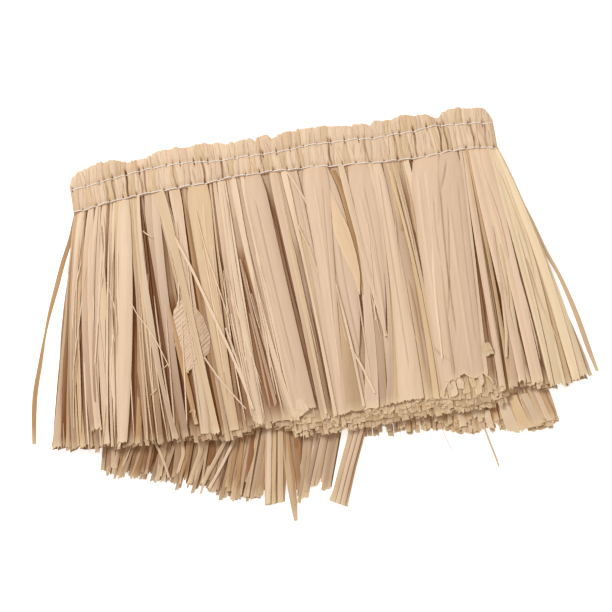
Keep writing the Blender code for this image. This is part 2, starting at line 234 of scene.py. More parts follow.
# A strand is a closed flat ribbon. Its cut end is paler and has less painted shade, its edges are
# painted lighter where they would catch the light, its underside is painted in shade, and its grain
# comes from a place of its own in the noise.
TAU = 2.0 * np.pi
SHARP_DEGREES = 50.0
RIBBON_MM = 0.25
CUT_END = "#E2CEA8"
PALE_MM = 3.0
PALE_SHARE = 0.7
PALE_UNSHADED = 0.35
PALE_UNGAPPED = 0.5
EDGE_LIGHT = 1.12
UNDERSIDE_SHADE = 0.45
GRAIN_APART_MM = (97.0, 613.0)


def quad_mesh(name, points, quads, uv, tint, material, sharp_degrees=SHARP_DEGREES):
    """A mesh from arrays: points in millimetres (x, down, height), quads, UV in millimetres and
    RGBA tint per point. A point is placed at x, minus its distance down, and its height."""
    mesh = bpy.data.meshes.new(name)
    placed = np.column_stack([points[:, 0], -points[:, 1], points[:, 2]]) * MM
    mesh.vertices.add(len(placed))
    mesh.vertices.foreach_set("co", placed.ravel())
    mesh.loops.add(quads.size)
    mesh.loops.foreach_set("vertex_index", quads.ravel().astype(np.int32))
    mesh.polygons.add(len(quads))
    mesh.polygons.foreach_set("loop_start", np.arange(0, quads.size, 4, dtype=np.int32))
    mesh.update(calc_edges=True)
    mesh.uv_layers.new(name="strand").data.foreach_set("uv", uv[quads.ravel()].ravel())
    mesh.attributes.new("tint", "FLOAT_COLOR", "POINT").data.foreach_set("color", tint.ravel())
    mesh.materials.append(material)
    mesh.shade_smooth()
    mesh.set_sharp_from_angle(angle=math.radians(sharp_degrees))
    made = bpy.data.objects.new(name, mesh)
    bpy.context.scene.collection.objects.link(made)
    return made


def joined(batches):
    """Several (points, quads, uv, tint) batches as one, with each batch's quads counted on from the last."""
    starts = np.cumsum([0] + [len(batch[0]) for batch in batches[:-1]])
    points, quads, uv, tint = zip(*batches)
    shifted = [batch_quads + start for batch_quads, start in zip(quads, starts)]
    return np.concatenate(points), np.concatenate(shifted), np.concatenate(uv), np.concatenate(tint)


def tube_sides(grid):
    """Quads between neighbouring rings: grid is (..., rings, points), and each ring closes on itself."""
    here, beyond = grid[..., :-1, :], grid[..., 1:, :]
    corners = [here, beyond, np.roll(beyond, -1, axis=-1), np.roll(here, -1, axis=-1)]
    return np.stack(corners, axis=-1).reshape(-1, 4)


def end_cap(ring):
    """Quads that close the end of a flat tube: ring is (..., points), and each point of its upper
    half is joined to the one that lies under it in its lower half."""
    size = ring.shape[-1]
    k = np.arange((size - 1) // 2)
    corners = [ring[..., k], ring[..., k + 1], ring[..., size - 2 - k], ring[..., size - 1 - k]]
    return np.stack(corners, axis=-1).reshape(-1, 4)


def ribbon_batch(left, right, down, top, thickness, colours, shade, random, end_jag, slant=None, dark=None):
    """Closed flat ribbons. left, right and down are (ribbons, rows): the x of both edges at each row.
    top is (ribbons, rows, across): the upper face's height. The lower face lies a thickness under it.
    The last row is cut unevenly, by end_jag, and on the skew by slant. shade is painted shade, per
    ribbon or per ribbon and row, and dark(x, down) adds painted shade in the gaps between the strands
    above."""
    count, rows, across = top.shape
    share = np.linspace(0.0, 1.0, across)
    x = left[..., None] + (right - left)[..., None] * share
    v = np.repeat(down[..., None], across, axis=2)
    v[:, -1] += random.uniform(-end_jag, end_jag, (count, across))
    if slant is not None:
        v[:, -1] += slant[:, None] * (share - 0.5)
    low = top - thickness
    ring_x = np.concatenate([x, x[..., ::-1]], axis=2)
    ring_v = np.concatenate([v, v[..., ::-1]], axis=2)
    ring_z = np.concatenate([top, low[..., ::-1]], axis=2)
    points = np.stack([ring_x, ring_v, ring_z], axis=-1)
    ring = 2 * across
    index = np.arange(count * rows * ring).reshape(count, rows, ring)
    last_cap = end_cap(index[:, -1])[:, [0, 3, 2, 1]]
    quads = np.concatenate([tube_sides(index), end_cap(index[:, 0]), last_cap])
    width = (right - left)[..., None]
    shares = np.concatenate([share, share[::-1]])
    across_mm = width * shares + GRAIN_APART_MM[0] * random.random((count, 1, 1))
    along_mm = ring_v + GRAIN_APART_MM[1] * random.random((count, 1, 1))
    uv = np.stack([across_mm, along_mm], axis=-1).reshape(-1, 2)
    tint = np.ones((count, rows, ring, 4))
    tint[..., :3] = colours[:, None, None, :]
    pale = np.clip(1.0 - (down[:, -1:] - down) / PALE_MM, 0.0, 1.0)[..., None, None]
    tint[..., :3] += (np.array(srgb(CUT_END)) - tint[..., :3]) * PALE_SHARE * pale
    # Painted light and shade: both edges lighter, and below, the shade lifted at the cut end and deepened on
    # the underside and in gaps
    tint[:, :, [0, across - 1], :3] *= EDGE_LIGHT
    shades = shade[:, None] * np.ones((1, rows)) if shade.ndim == 1 else shade
    alpha = shades[..., None] * (1.0 - PALE_UNSHADED * pale[..., 0]) * np.ones(ring)
    alpha[:, :, across:] += UNDERSIDE_SHADE
    if dark is not None:
        alpha = alpha + dark(ring_x, ring_v) * (1.0 - PALE_UNGAPPED * pale[..., 0])
    tint[..., 3] = np.clip(alpha, 0.0, 1.0)
    return points.reshape(-1, 3), quads, uv, tint.reshape(-1, 4)


def parabola(values, stations, down):
    """The parabola through three (station, value) pairs, at down. values is (..., 3)."""
    a, b, c = stations
    return (
        values[..., 0:1] * (down - b) * (down - c) / ((a - b) * (a - c))
        + values[..., 1:2] * (down - a) * (down - c) / ((b - a) * (b - c))
        + values[..., 2:3] * (down - a) * (down - b) / ((c - a) * (c - b))
    )


def at_x(table, x):
    """The second column of a table at x, whose first column is x."""
    return np.interp(x, table[:, 0], table[:, 1])


def tints(names, random, spread=0.05):
    """Linear colours of these tints, each a little lighter or darker than its name's."""
    colours = np.array([srgb(RAFFIA_TINTS[name]) for name in names])
    return colours * (1.0 + random.normal(0.0, spread, (len(names), 1)))


def picked(names, random, count):
    """This many of the names, each picked at random."""
    return [names[i] for i in random.integers(0, len(names), count)]


# A strand's upper face: the least and most, over all strands, of its crown's share, of how often it
# rolls and waves along its length, of its folds' drift and wandering, of where a fold's ridge lies
# between two creases, and of its depth. Narrow strands fold less.
CROWN_SHARES = (0.1, 1.0)
ROLLS = (0.4, 1.5)
WAVES = (0.5, 2.0)
FOLD_DRIFT = (-0.35, 0.35)
FOLD_WANDER = 0.12
FOLD_RIDGE = (0.6, 0.9)
FOLD_SHARES = (0.2, 1.0)
FOLD_WIDTHS = (0.3, 16.0)
FULL_FOLD_MM = 4.0
LEAST_FOLD = 0.3
MOST_ROLL_MM = 0.8


def raffia_heights(
    left, right, base, across, random,
    crown=0.09, roll=0.12, wave=0.3, folds=0.3, pitch=(0.8, 1.8),
):
    """Upper face of raffia ribbons over base: crowned like a flattened tube, rolled to one side,
    waved along their length and folded lengthwise. A fold is a ridge with a flat slope on one side
    and a steep one on the other, wanders, and comes again every pitch widths."""
    count, rows = left.shape
    share = np.linspace(0.0, 1.0, across)
    width = np.clip(right - left, *FOLD_WIDTHS)[..., None]
    t = np.linspace(0.0, 1.0, rows)[None, :, None]

    def each(low, high):
        return random.uniform(low, high, (count, 1, 1))

    def swing(turns):
        return np.sin(TAU * (each(*turns) * t + each(0.0, 1.0)))

    crowned = each(*CROWN_SHARES) * crown * width * (1.0 - (2.0 * share - 1.0) ** 2)
    turn = each(-1.0, 1.0) * roll + each(-1.0, 1.0) * roll * swing(ROLLS)
    rolled = np.clip(turn * width * (share - 0.5), -MOST_ROLL_MM, MOST_ROLL_MM)
    waved = wave * swing(WAVES)
    phase = share / each(*pitch) + each(0.0, 1.0) + each(*FOLD_DRIFT) * t + FOLD_WANDER * swing(WAVES)
    tooth = phase - np.floor(phase)
    bend = each(*FOLD_RIDGE)
    ridge = np.where(tooth < bend, tooth / bend, (1.0 - tooth) / (1.0 - bend))
    fold = each(*FOLD_SHARES) * folds * (ridge - 0.5) * np.clip(width / FULL_FOLD_MM, LEAST_FOLD, 1.0)
    return base[..., None] + crowned + rolled + waved + fold


# The heading's lines: raffia doubled over at the top, gathered side by side and sewn flat by two
# rows of stitches. Its folds stand at uneven heights along the top edge.
BAND_COLUMNS = ("x", "top", "upper_row", "lower_row")
BAND = np.array((
    (-151.5, -3, 0.2, 16.6), (-149, -8, 0.2, 16.5), (-144, -12, 0, 16.2), (-134, -14.4, -0.8, 14.8),
    (-121, -16.4, -2.6, 13.2), (-116, -15.4, -3.4, 12.8), (-112, -13.2, -4, 12.5),
    (-100, -13.6, -5, 12), (-91, -14.4, -5.5, 11.8), (-89, -16, -5.6, 11.7), (-80, -17.2, -6, 11.4),
    (-62, -16.6, -5, 11.5), (-45, -16.2, -3, 10.8), (-38.5, -13.6, -2.6, 10.5), (-28, -15, -3.2, 10.2),
    (-19, -15, -2.8, 10.6), (-17, -11.6, -2.8, 10.6), (-15, -15, -2.6, 10.7), (-8, -15.2, -2.2, 10.9),
    (-4.5, -12.8, -2.2, 11.2), (0, -15, -2.4, 11.4), (20, -15.2, -3.4, 12.4), (36, -14.3, -3.2, 14.2),
    (50, -13.2, -2.2, 15.4), (53.5, -11.8, -2, 15.7), (60, -12.8, -1.4, 16.4), (65.5, -10.4, -1, 16.8),
    (69, -12.4, -0.8, 17), (80, -11.6, -0.8, 17.8), (87, -14, -0.8, 18.2), (95, -13.2, -1.2, 18.4),
    (106, -11, -2.2, 18.4), (111, -7.8, -2.4, 18.2), (114.5, -7.8, -1.6, 17.8),
    (118, -12.2, -1.4, 17.4), (130, -12.4, -0.6, 17.4), (138, -10.4, 0.4, 18.2), (146, -9, 2, 19.8),
    (148.6, -7.4, 2.4, 20.5), (150.2, -3.4, 2.4, 20.7), (152, 1.5, 2.6, 20.8),
))


def band_at(x, name):
    """The heading's value of this name at x."""
    return np.interp(x, BAND[:, 0], BAND[:, BAND_COLUMNS.index(name)])


# Where the pile opens between its outer strands: the strands below sink there and are painted in
# brown shade. STATIONS are the distances down at which a line of the fan is given: a row is a gap's x
# at those three, its half width, where it starts and ends, and how strong it is, in depth and painted
# shade. It fades in and out over GAP_FADES.
STATIONS = (25.0, 100.0, 186.0)
GAPS = (
    (-152.5, -158.5, -169.5, 0.9, 50, 190, 0.8), (-128, -141.5, -154, 0.9, 50, 185, 0.9),
    (-127, -135.5, -149, 0.7, 55, 185, 0.7), (-112.5, -121.5, -137.5, 2.6, 40, 180, 1),
    (-104, -104.5, -103.5, 2.6, 25, 165, 0.8), (-89, -89.5, -90.5, 3.4, 88, 185, 1),
    (-79, -79, -79.8, 0.7, 90, 190, 0.6), (-73, -72.5, -71, 1.5, 20, 150, 0.5),
    (-53.5, -56, -58, 2, 60, 175, 0.8), (-44, -45.5, -44.5, 0.8, 140, 175, 0.9),
    (-41, -37.8, -31.5, 4.2, 60, 190, 1), (-13, -7.5, -2.5, 1.3, 20, 190, 1),
    (-1, 1.5, 4, 1.4, 60, 190, 0.7), (3, 4.5, 6.5, 1, 80, 190, 0.9),
    (12.5, 12.5, 12.5, 0.8, 40, 190, 0.5), (33, 41, 42, 2.4, 90, 190, 0.9),
    (44, 47, 43, 1.2, 95, 165, 0.9), (73, 75.5, 76, 1.2, 60, 180, 0.7),
    (81.5, 82.5, 84.5, 1.2, 25, 120, 0.8), (85, 84.5, 86, 0.9, 85, 180, 0.6),
    (124, 123, 121.5, 2, 60, 190, 0.7), (129.5, 131.5, 135, 1.5, 80, 185, 1),
    (137, 142, 144.5, 1, 100, 190, 0.9), (147, 151.5, 157, 1.2, 60, 190, 0.8),
    (150, 158, 168, 1, 70, 190, 0.6),
)
GAP_FADES = (15.0, 8.0)
GAP_SPREAD = 1.6
GAP_EDGE = 4


def gap_at(x, down):
    """How open the pile is at x and down, from 0 to 1: a flat-topped bell across each gap's line."""
    open_here = np.zeros_like(x)
    for *places, half, start, stop, strength in GAPS:
        line = parabola(np.array(places), STATIONS, down)
        starting = np.clip((down - start) / GAP_FADES[0], 0.0, 1.0)
        ending = np.clip((stop - down) / GAP_FADES[1], 0.0, 1.0)
        bell = np.exp(-(((x - line) / (GAP_SPREAD * half)) ** GAP_EDGE))
        open_here = np.maximum(open_here, strength * (starting * ending) * bell)
    return open_here


# Where the front lies: the fan of its strands as key lines from left to right, by their x at the
# three stations, and its hem by x and distance down.
FAN_LINES = np.array((
    (-152.5, -171.5, -191),
    (-143, -157, -167),
    (-128, -139, -150),
    (-114.5, -125, -137),
    (-104, -107.5, -112),
    (-88, -88, -86),
    (-72, -72, -69),
    (-54, -56, -55),
    (-43, -41, -37),
    (-36, -31, -23),
    (-15, -10.5, -3.5),
    (10, 13.5, 13),
    (30, 30, 31),
    (44, 48, 44),
    (60, 59.5, 57),
    (70, 70.5, 70.5),
    (88, 85, 83),
    (112, 104, 100),
    (126, 122, 118),
    (136, 141, 144),
    (145, 150, 156),
    (152, 171.5, 186),
))
FRONT_HEM = np.array((
    (-190, 181), (-172, 184.5), (-150, 187.5), (-130, 189), (-105, 191.5), (-85, 192.5), (-72, 195.5),
    (-58, 195), (-48, 191.5), (-20, 191), (30, 192), (60, 190.5), (90, 192), (140, 192.5), (160, 197),
    (172, 195), (187, 191),
))

# The pile's top is a plane that rises from the seam to the hem, by its heights and distances down.
# It falls at both sides over SIDE_SHARE of the width, the more the further it is from the seam,
# and is pressed down where the lower stitches hold it, which also pinches each strand's width.
PILE_TOP = (6.2, 10.2)
PILE_DOWN = (14.0, 190.0)
SIDE_FALL = 5.2
SIDE_SHARE = 0.075
SIDE_GROWTH_MM = 130.0
SIDE_MOST = 1.3
SIDE_CURVE = 1.5
SEAM_HEIGHT = 5.4
SEAM_PER_LEVEL = 0.6
PUFF_MM = 12.0
PUFF_CURVE = 2.5
PINCHED = 0.72
RELEASED = 0.28
RELEASE_MM = 16.0
RELEASE_CURVE = 0.6


def fan_x(place, down):
    """x of the fan's line at place, from 0 at the left to 1 at the right, at this distance down."""
    marks = np.linspace(0.0, 1.0, len(FAN_LINES))
    values = np.stack([np.interp(place, marks, column) for column in FAN_LINES.T], axis=-1)
    return parabola(values, STATIONS, down)


def pile_height(x, down, level):
    """Height of a strand at this level of the pile: the pile's plane and the level, less the fall at
    both sides, eased down to the seam's height where the lower stitches hold it."""
    left = parabola(FAN_LINES[0], STATIONS, down)
    right = parabola(FAN_LINES[-1], STATIONS, down)
    inside = np.minimum(x - left, right - x) / (right - left)
    grown = np.clip((down - PILE_DOWN[0]) / SIDE_GROWTH_MM, 0.0, 1.0)
    fall = SIDE_FALL * grown * np.clip(1.0 - inside / SIDE_SHARE, 0.0, SIDE_MOST) ** SIDE_CURVE
    slope = (PILE_TOP[1] - PILE_TOP[0]) / (PILE_DOWN[1] - PILE_DOWN[0])
    free = PILE_TOP[0] + slope * (down - PILE_DOWN[0]) - fall + level
    seam = SEAM_HEIGHT + SEAM_PER_LEVEL * level
    ease = 1.0 - (1.0 - np.clip((down - band_at(x, "lower_row")) / PUFF_MM, 0.0, 1.0)) ** PUFF_CURVE
    return seam + (free - seam) * ease


def pinch(x, down):
    """Share of a strand's width that is left where the stitches gather it, growing to all of it."""
    past_seam = np.clip((down - band_at(x, "lower_row")) / RELEASE_MM, 0.0, 1.0)
    return PINCHED + RELEASED * past_seam**RELEASE_CURVE


# How much wider the strands under the broad outer ones are than those at the sides, by their x at the hem
COARSE = np.array(((-60.0, 1.0), (-35.0, 2.0), (105.0, 2.0), (125.0, 1.0)))

# How much deeper in shade the strands under the outer ones lie where the pile is open
DEEPER = np.array(((-60.0, 0.36), (-30.0, 0.0), (110.0, 0.0), (130.0, -0.14), (190.0, -0.14)))

# A layer's strands: how far each strays from its even place, where its root is looked up, how far it
# is tucked under the lower stitches, how its rows crowd towards the seam, how it wanders and widens,
# how far its level strays and it sinks into a gap, its roll, how ragged its end is, and how its shade
# strays where it is seen whole or as an end
STRAY_SHARE = 0.45
ROOT_DOWN = 14.0
TUCKED_MM = 1.0
ROW_CURVE = 1.15
WANDER_TURNS = (0.4, 1.6)
WANDER_STARTS = (-0.2, 0.2)
WIDENING = (-0.15, 0.35)
LEVEL_STRAY = 0.35
GAP_SINK = 1.2
LAYER_ROLL = 0.2
LAYER_JAG = 0.6
SHADE_STRAY = 0.12
END_SHADE = 0.6


def evenly(count, random):
    """Places spread evenly from 0 to 1, each strayed by up to STRAY_SHARE of the step between them."""
    return (np.arange(count) + random.uniform(-STRAY_SHARE, STRAY_SHARE, count) + 0.5) / count


def fan_layer(
    count, width, level, past_hem, hem_spread, shade, names, seed,
    rows, across, lean, gap, start=None, span=(0.0, 1.0),
):
    """A layer of plain strands spread evenly over this span of the front's fan, with small leans of
    their own. They start at the seam, or where only their ends show, at start. past_hem gives their
    reach past the hem as two rows, of x and of reach."""
    random = np.random.default_rng(seed)
    margin = 0.5 * width[1] / (FAN_LINES[-1, 0] - FAN_LINES[0, 0])
    place = np.clip(span[0] + (span[1] - span[0]) * evenly(count, random), margin, 1.0 - margin)
    widths = random.uniform(*width, count)
    end_x = fan_x(place, np.full((count, 1), STATIONS[2]))[:, 0]
    end = at_x(FRONT_HEM, end_x) + np.interp(end_x, *past_hem)
    end = end + random.uniform(-hem_spread, hem_spread, count)
    root_x = fan_x(place, np.full((count, 1), ROOT_DOWN))[:, 0]
    begin = band_at(root_x, "lower_row") - TUCKED_MM if start is None else np.full(count, start)
    t = np.linspace(0.0, 1.0, rows)
    down = begin[:, None] + (end - begin)[:, None] * t**ROW_CURVE
    turning = t * random.uniform(*WANDER_TURNS, (count, 1)) + random.uniform(*WANDER_STARTS, (count, 1))
    middle = fan_x(place, down) + random.uniform(-lean, lean, (count, 1)) * (t * np.sin(np.pi * turning))
    if start is None:
        widths = widths * at_x(COARSE, end_x)
    half = 0.5 * widths[:, None] * (1.0 + random.uniform(*WIDENING, (count, 1)) * t)
    half = half * pinch(middle, down)
    left, right = middle - half, middle + half
    strayed = level + random.uniform(-LEVEL_STRAY, LEVEL_STRAY, (count, 1))
    base = pile_height(middle, down, strayed) - GAP_SINK * gap_at(middle, down)
    top = raffia_heights(left, right, base, across, random, roll=LAYER_ROLL)
    chosen = picked(names, random, count)
    if start is None:
        own = at_x(DEEPER, end_x) + random.uniform(-SHADE_STRAY, SHADE_STRAY, count)
    else:
        own = END_SHADE * random.random(count) ** 3
    shades = np.clip(shade + own, 0.0, 1.0)
    colours = tints(chosen, random)

    # Painted shade in the gaps of the pile above
    def dark(x, v):
        return gap * gap_at(x, v)

    return ribbon_batch(left, right, down, top, RIBBON_MM, colours, shades, random, LAYER_JAG, None, dark)


# The back of the skirt, flat on the table under the front. Only its chopped ends show past the
# front's hem: on the left they lean away from the waist in the front's shade, on the right they
# reach just past it in steps. Each row is a key line of its fan: x at the seam, the knee and the
# hem, and how far it reaches.
BACK_LEFT_LINES = np.array((
    (-146, -146, -158, 202),
    (-136, -133, -149, 206.5),
    (-122, -111, -136, 210.5),
    (-108, -92, -118, 216),
    (-90, -74, -101, 223),
    (-75, -55, -85, 229),
    (-58, -40, -71, 236),
    (-42, -29, -60, 239.5),
    (-36, -25, -52, 236),
))
BACK_MIDDLE_LINES = np.array((
    (-30, 2, -28.5, 243.5),
    (-16, 12, -22, 243),
    (-8, 19, -14.5, 235),
    (-2, 27, -5.5, 242),
))
BACK_RIGHT_LINES = np.array((
    (10, 22, 14, 203),
    (24, 34, 30, 209),
    (60, 66, 60, 212),
    (84, 88, 86, 213.5),
    (90, 94, 94, 219),
    (105, 105, 107, 218),
    (130, 124, 132, 221),
    (138, 132, 148, 224),
    (146, 140, 160, 222),
))
BACK_SHARES = np.array((0.0, 0.3, 0.55, 0.66, 0.73, 0.79, 0.84, 0.88, 0.91, 0.94, 0.97, 1.0))
BACK_ROOT = 12.0
BACK_KNEE = 150.0
BACK_STATIONS = (12.0, 175.0, 204.0, 262.0)
BACK_TINTS = ("beige", "tan", "beige", "beige", "tan", "grey", "light")
BACK_ACROSS = 4
BACK_LEVEL_STRAY = (-0.3, 0.3)
BACK_SHADE_STRAY = (-0.2, 0.3)
BACK_WAVE = 0.15
BACK_JAG = 0.8
EDGE_RATE = 6.0
EDGE_LEAST = 0.15
LEAST_HEIGHT = 0.45

# Its layers from the table up. A row is a layer's key lines, number of strands, their widths, heights
# at the stations, how much they fall short of the reach and how unevenly, shade, seed and lean.
BACK_LAYERS = (
    (BACK_LEFT_LINES, 50, (5.0, 8.0), (1.6, 3.2, 0.9, 0.5), 4.0, 2.0, 0.92, 21, 3.0),
    (BACK_LEFT_LINES, 56, (2.0, 4.2), (2.8, 4.4, 1.9, 0.9), 2.0, 2.4, 0.72, 22, 7.0),
    (BACK_LEFT_LINES, 62, (1.2, 3.2), (3.9, 5.6, 3.2, 1.6), 1.0, 2.6, 0.38, 23, 10.0),
    (BACK_MIDDLE_LINES, 10, (2.4, 4.4), (2.6, 3.4, 1.6, 0.7), 3.0, 2.0, 0.7, 27, 2.0),
    (BACK_MIDDLE_LINES, 14, (1.4, 3.2), (3.6, 4.8, 2.6, 1.3), 0.0, 3.0, 0.26, 28, 3.0),
    (BACK_RIGHT_LINES, 75, (3.0, 5.0), (1.6, 3.2, 1.8, 1.0), 1.5, 2.5, 0.30, 24, 3.0),
    (BACK_RIGHT_LINES, 75, (1.5, 4.0), (2.8, 4.4, 3.2, 2.0), 3.5, 3.0, 0.16, 25, 3.0),
    (BACK_RIGHT_LINES, 70, (1.2, 4.0), (3.9, 5.6, 4.6, 3.0), 8.0, 4.0, 0.08, 26, 3.0),
)


def back_layer(lines, count, width, tops, shorter, spread, shade, seed, lean):
    """A layer of the back's strands between its key lines, bending down to the table past the front's hem."""
    random = np.random.default_rng(seed)
    place = evenly(count, random)
    marks = np.linspace(0.0, 1.0, len(lines))
    root, knee, hem, reach = [np.interp(place, marks, column)[:, None] for column in lines.T]
    end = reach - shorter + random.uniform(-spread, spread, (count, 1))
    down = BACK_ROOT + (end - BACK_ROOT) * BACK_SHARES
    past = np.clip((down - BACK_KNEE) / (reach - BACK_KNEE), 0.0, None)
    before = np.clip((down - BACK_ROOT) / (BACK_KNEE - BACK_ROOT), 0.0, 1.0)
    middle = np.where(down <= BACK_KNEE, root + (knee - root) * before, knee + (hem - knee) * past)
    inner = np.clip(EDGE_RATE * np.minimum(place, 1.0 - place), EDGE_LEAST, 1.0)[:, None]
    middle = middle + random.uniform(-lean, lean, (count, 1)) * inner * BACK_SHARES**3
    half = 0.5 * random.uniform(*width, (count, 1)) * np.ones_like(BACK_SHARES)
    left, right = middle - half, middle + half
    base = np.interp(down, BACK_STATIONS, tops) + random.uniform(*BACK_LEVEL_STRAY, (count, 1))
    top = raffia_heights(left, right, base, BACK_ACROSS, random, wave=BACK_WAVE, roll=LAYER_ROLL)
    top = np.maximum(top, LEAST_HEIGHT)
    chosen = picked(BACK_TINTS, random, count)
    shades = np.clip(shade + random.uniform(*BACK_SHADE_STRAY, count), 0.0, 1.0)
    return ribbon_batch(left, right, down, top, RIBBON_MM, tints(chosen, random), shades, random, BACK_JAG)


# The weights that round the corners of a given strand's line
ROUNDING = np.array((1.0, 2.0, 3.0, 4.0, 3.0, 2.0, 1.0)) / 16.0
ABOVE_TABLE = 0.05
PATH_JAG = 0.3


def path_batch(paths, rows, across, seed, end_jag=PATH_JAG, **heights):
    """Ribbons along given paths. Each path is (tint, shade, slant, stops), and a stop is x, down,
    width and height above the table. The stops are joined by a line whose corners are rounded. The
    slant is how much further down the cut end's right corner lies."""
    random = np.random.default_rng(seed)
    lines = []
    for _, _, _, stops in paths:
        stops = np.array(stops, float)
        length = np.concatenate([[0.0], np.cumsum(np.hypot(*np.diff(stops[:, :2], axis=0).T))])
        even = np.linspace(0.0, length[-1], rows + len(ROUNDING) - 1)
        line = np.stack([np.interp(even, length, column) for column in stops.T], axis=-1)
        soft = np.stack([np.convolve(column, ROUNDING, mode="valid") for column in line.T], axis=-1)
        soft[0], soft[-1] = line[0], line[-1]
        lines.append(soft)
    x, down, width, height = np.moveaxis(np.array(lines), -1, 0)
    left, right = x - 0.5 * width, x + 0.5 * width
    top = raffia_heights(left, right, height, across, random, **heights)
    top = np.maximum(top, RIBBON_MM + ABOVE_TABLE)
    names, shades, slants, _ = zip(*paths)
    shades, slants = np.array(shades, float), np.array(slants, float)
    colours = tints(names, random)
    return ribbon_batch(left, right, down, top, RIBBON_MM, colours, shades, random, end_jag, slants)


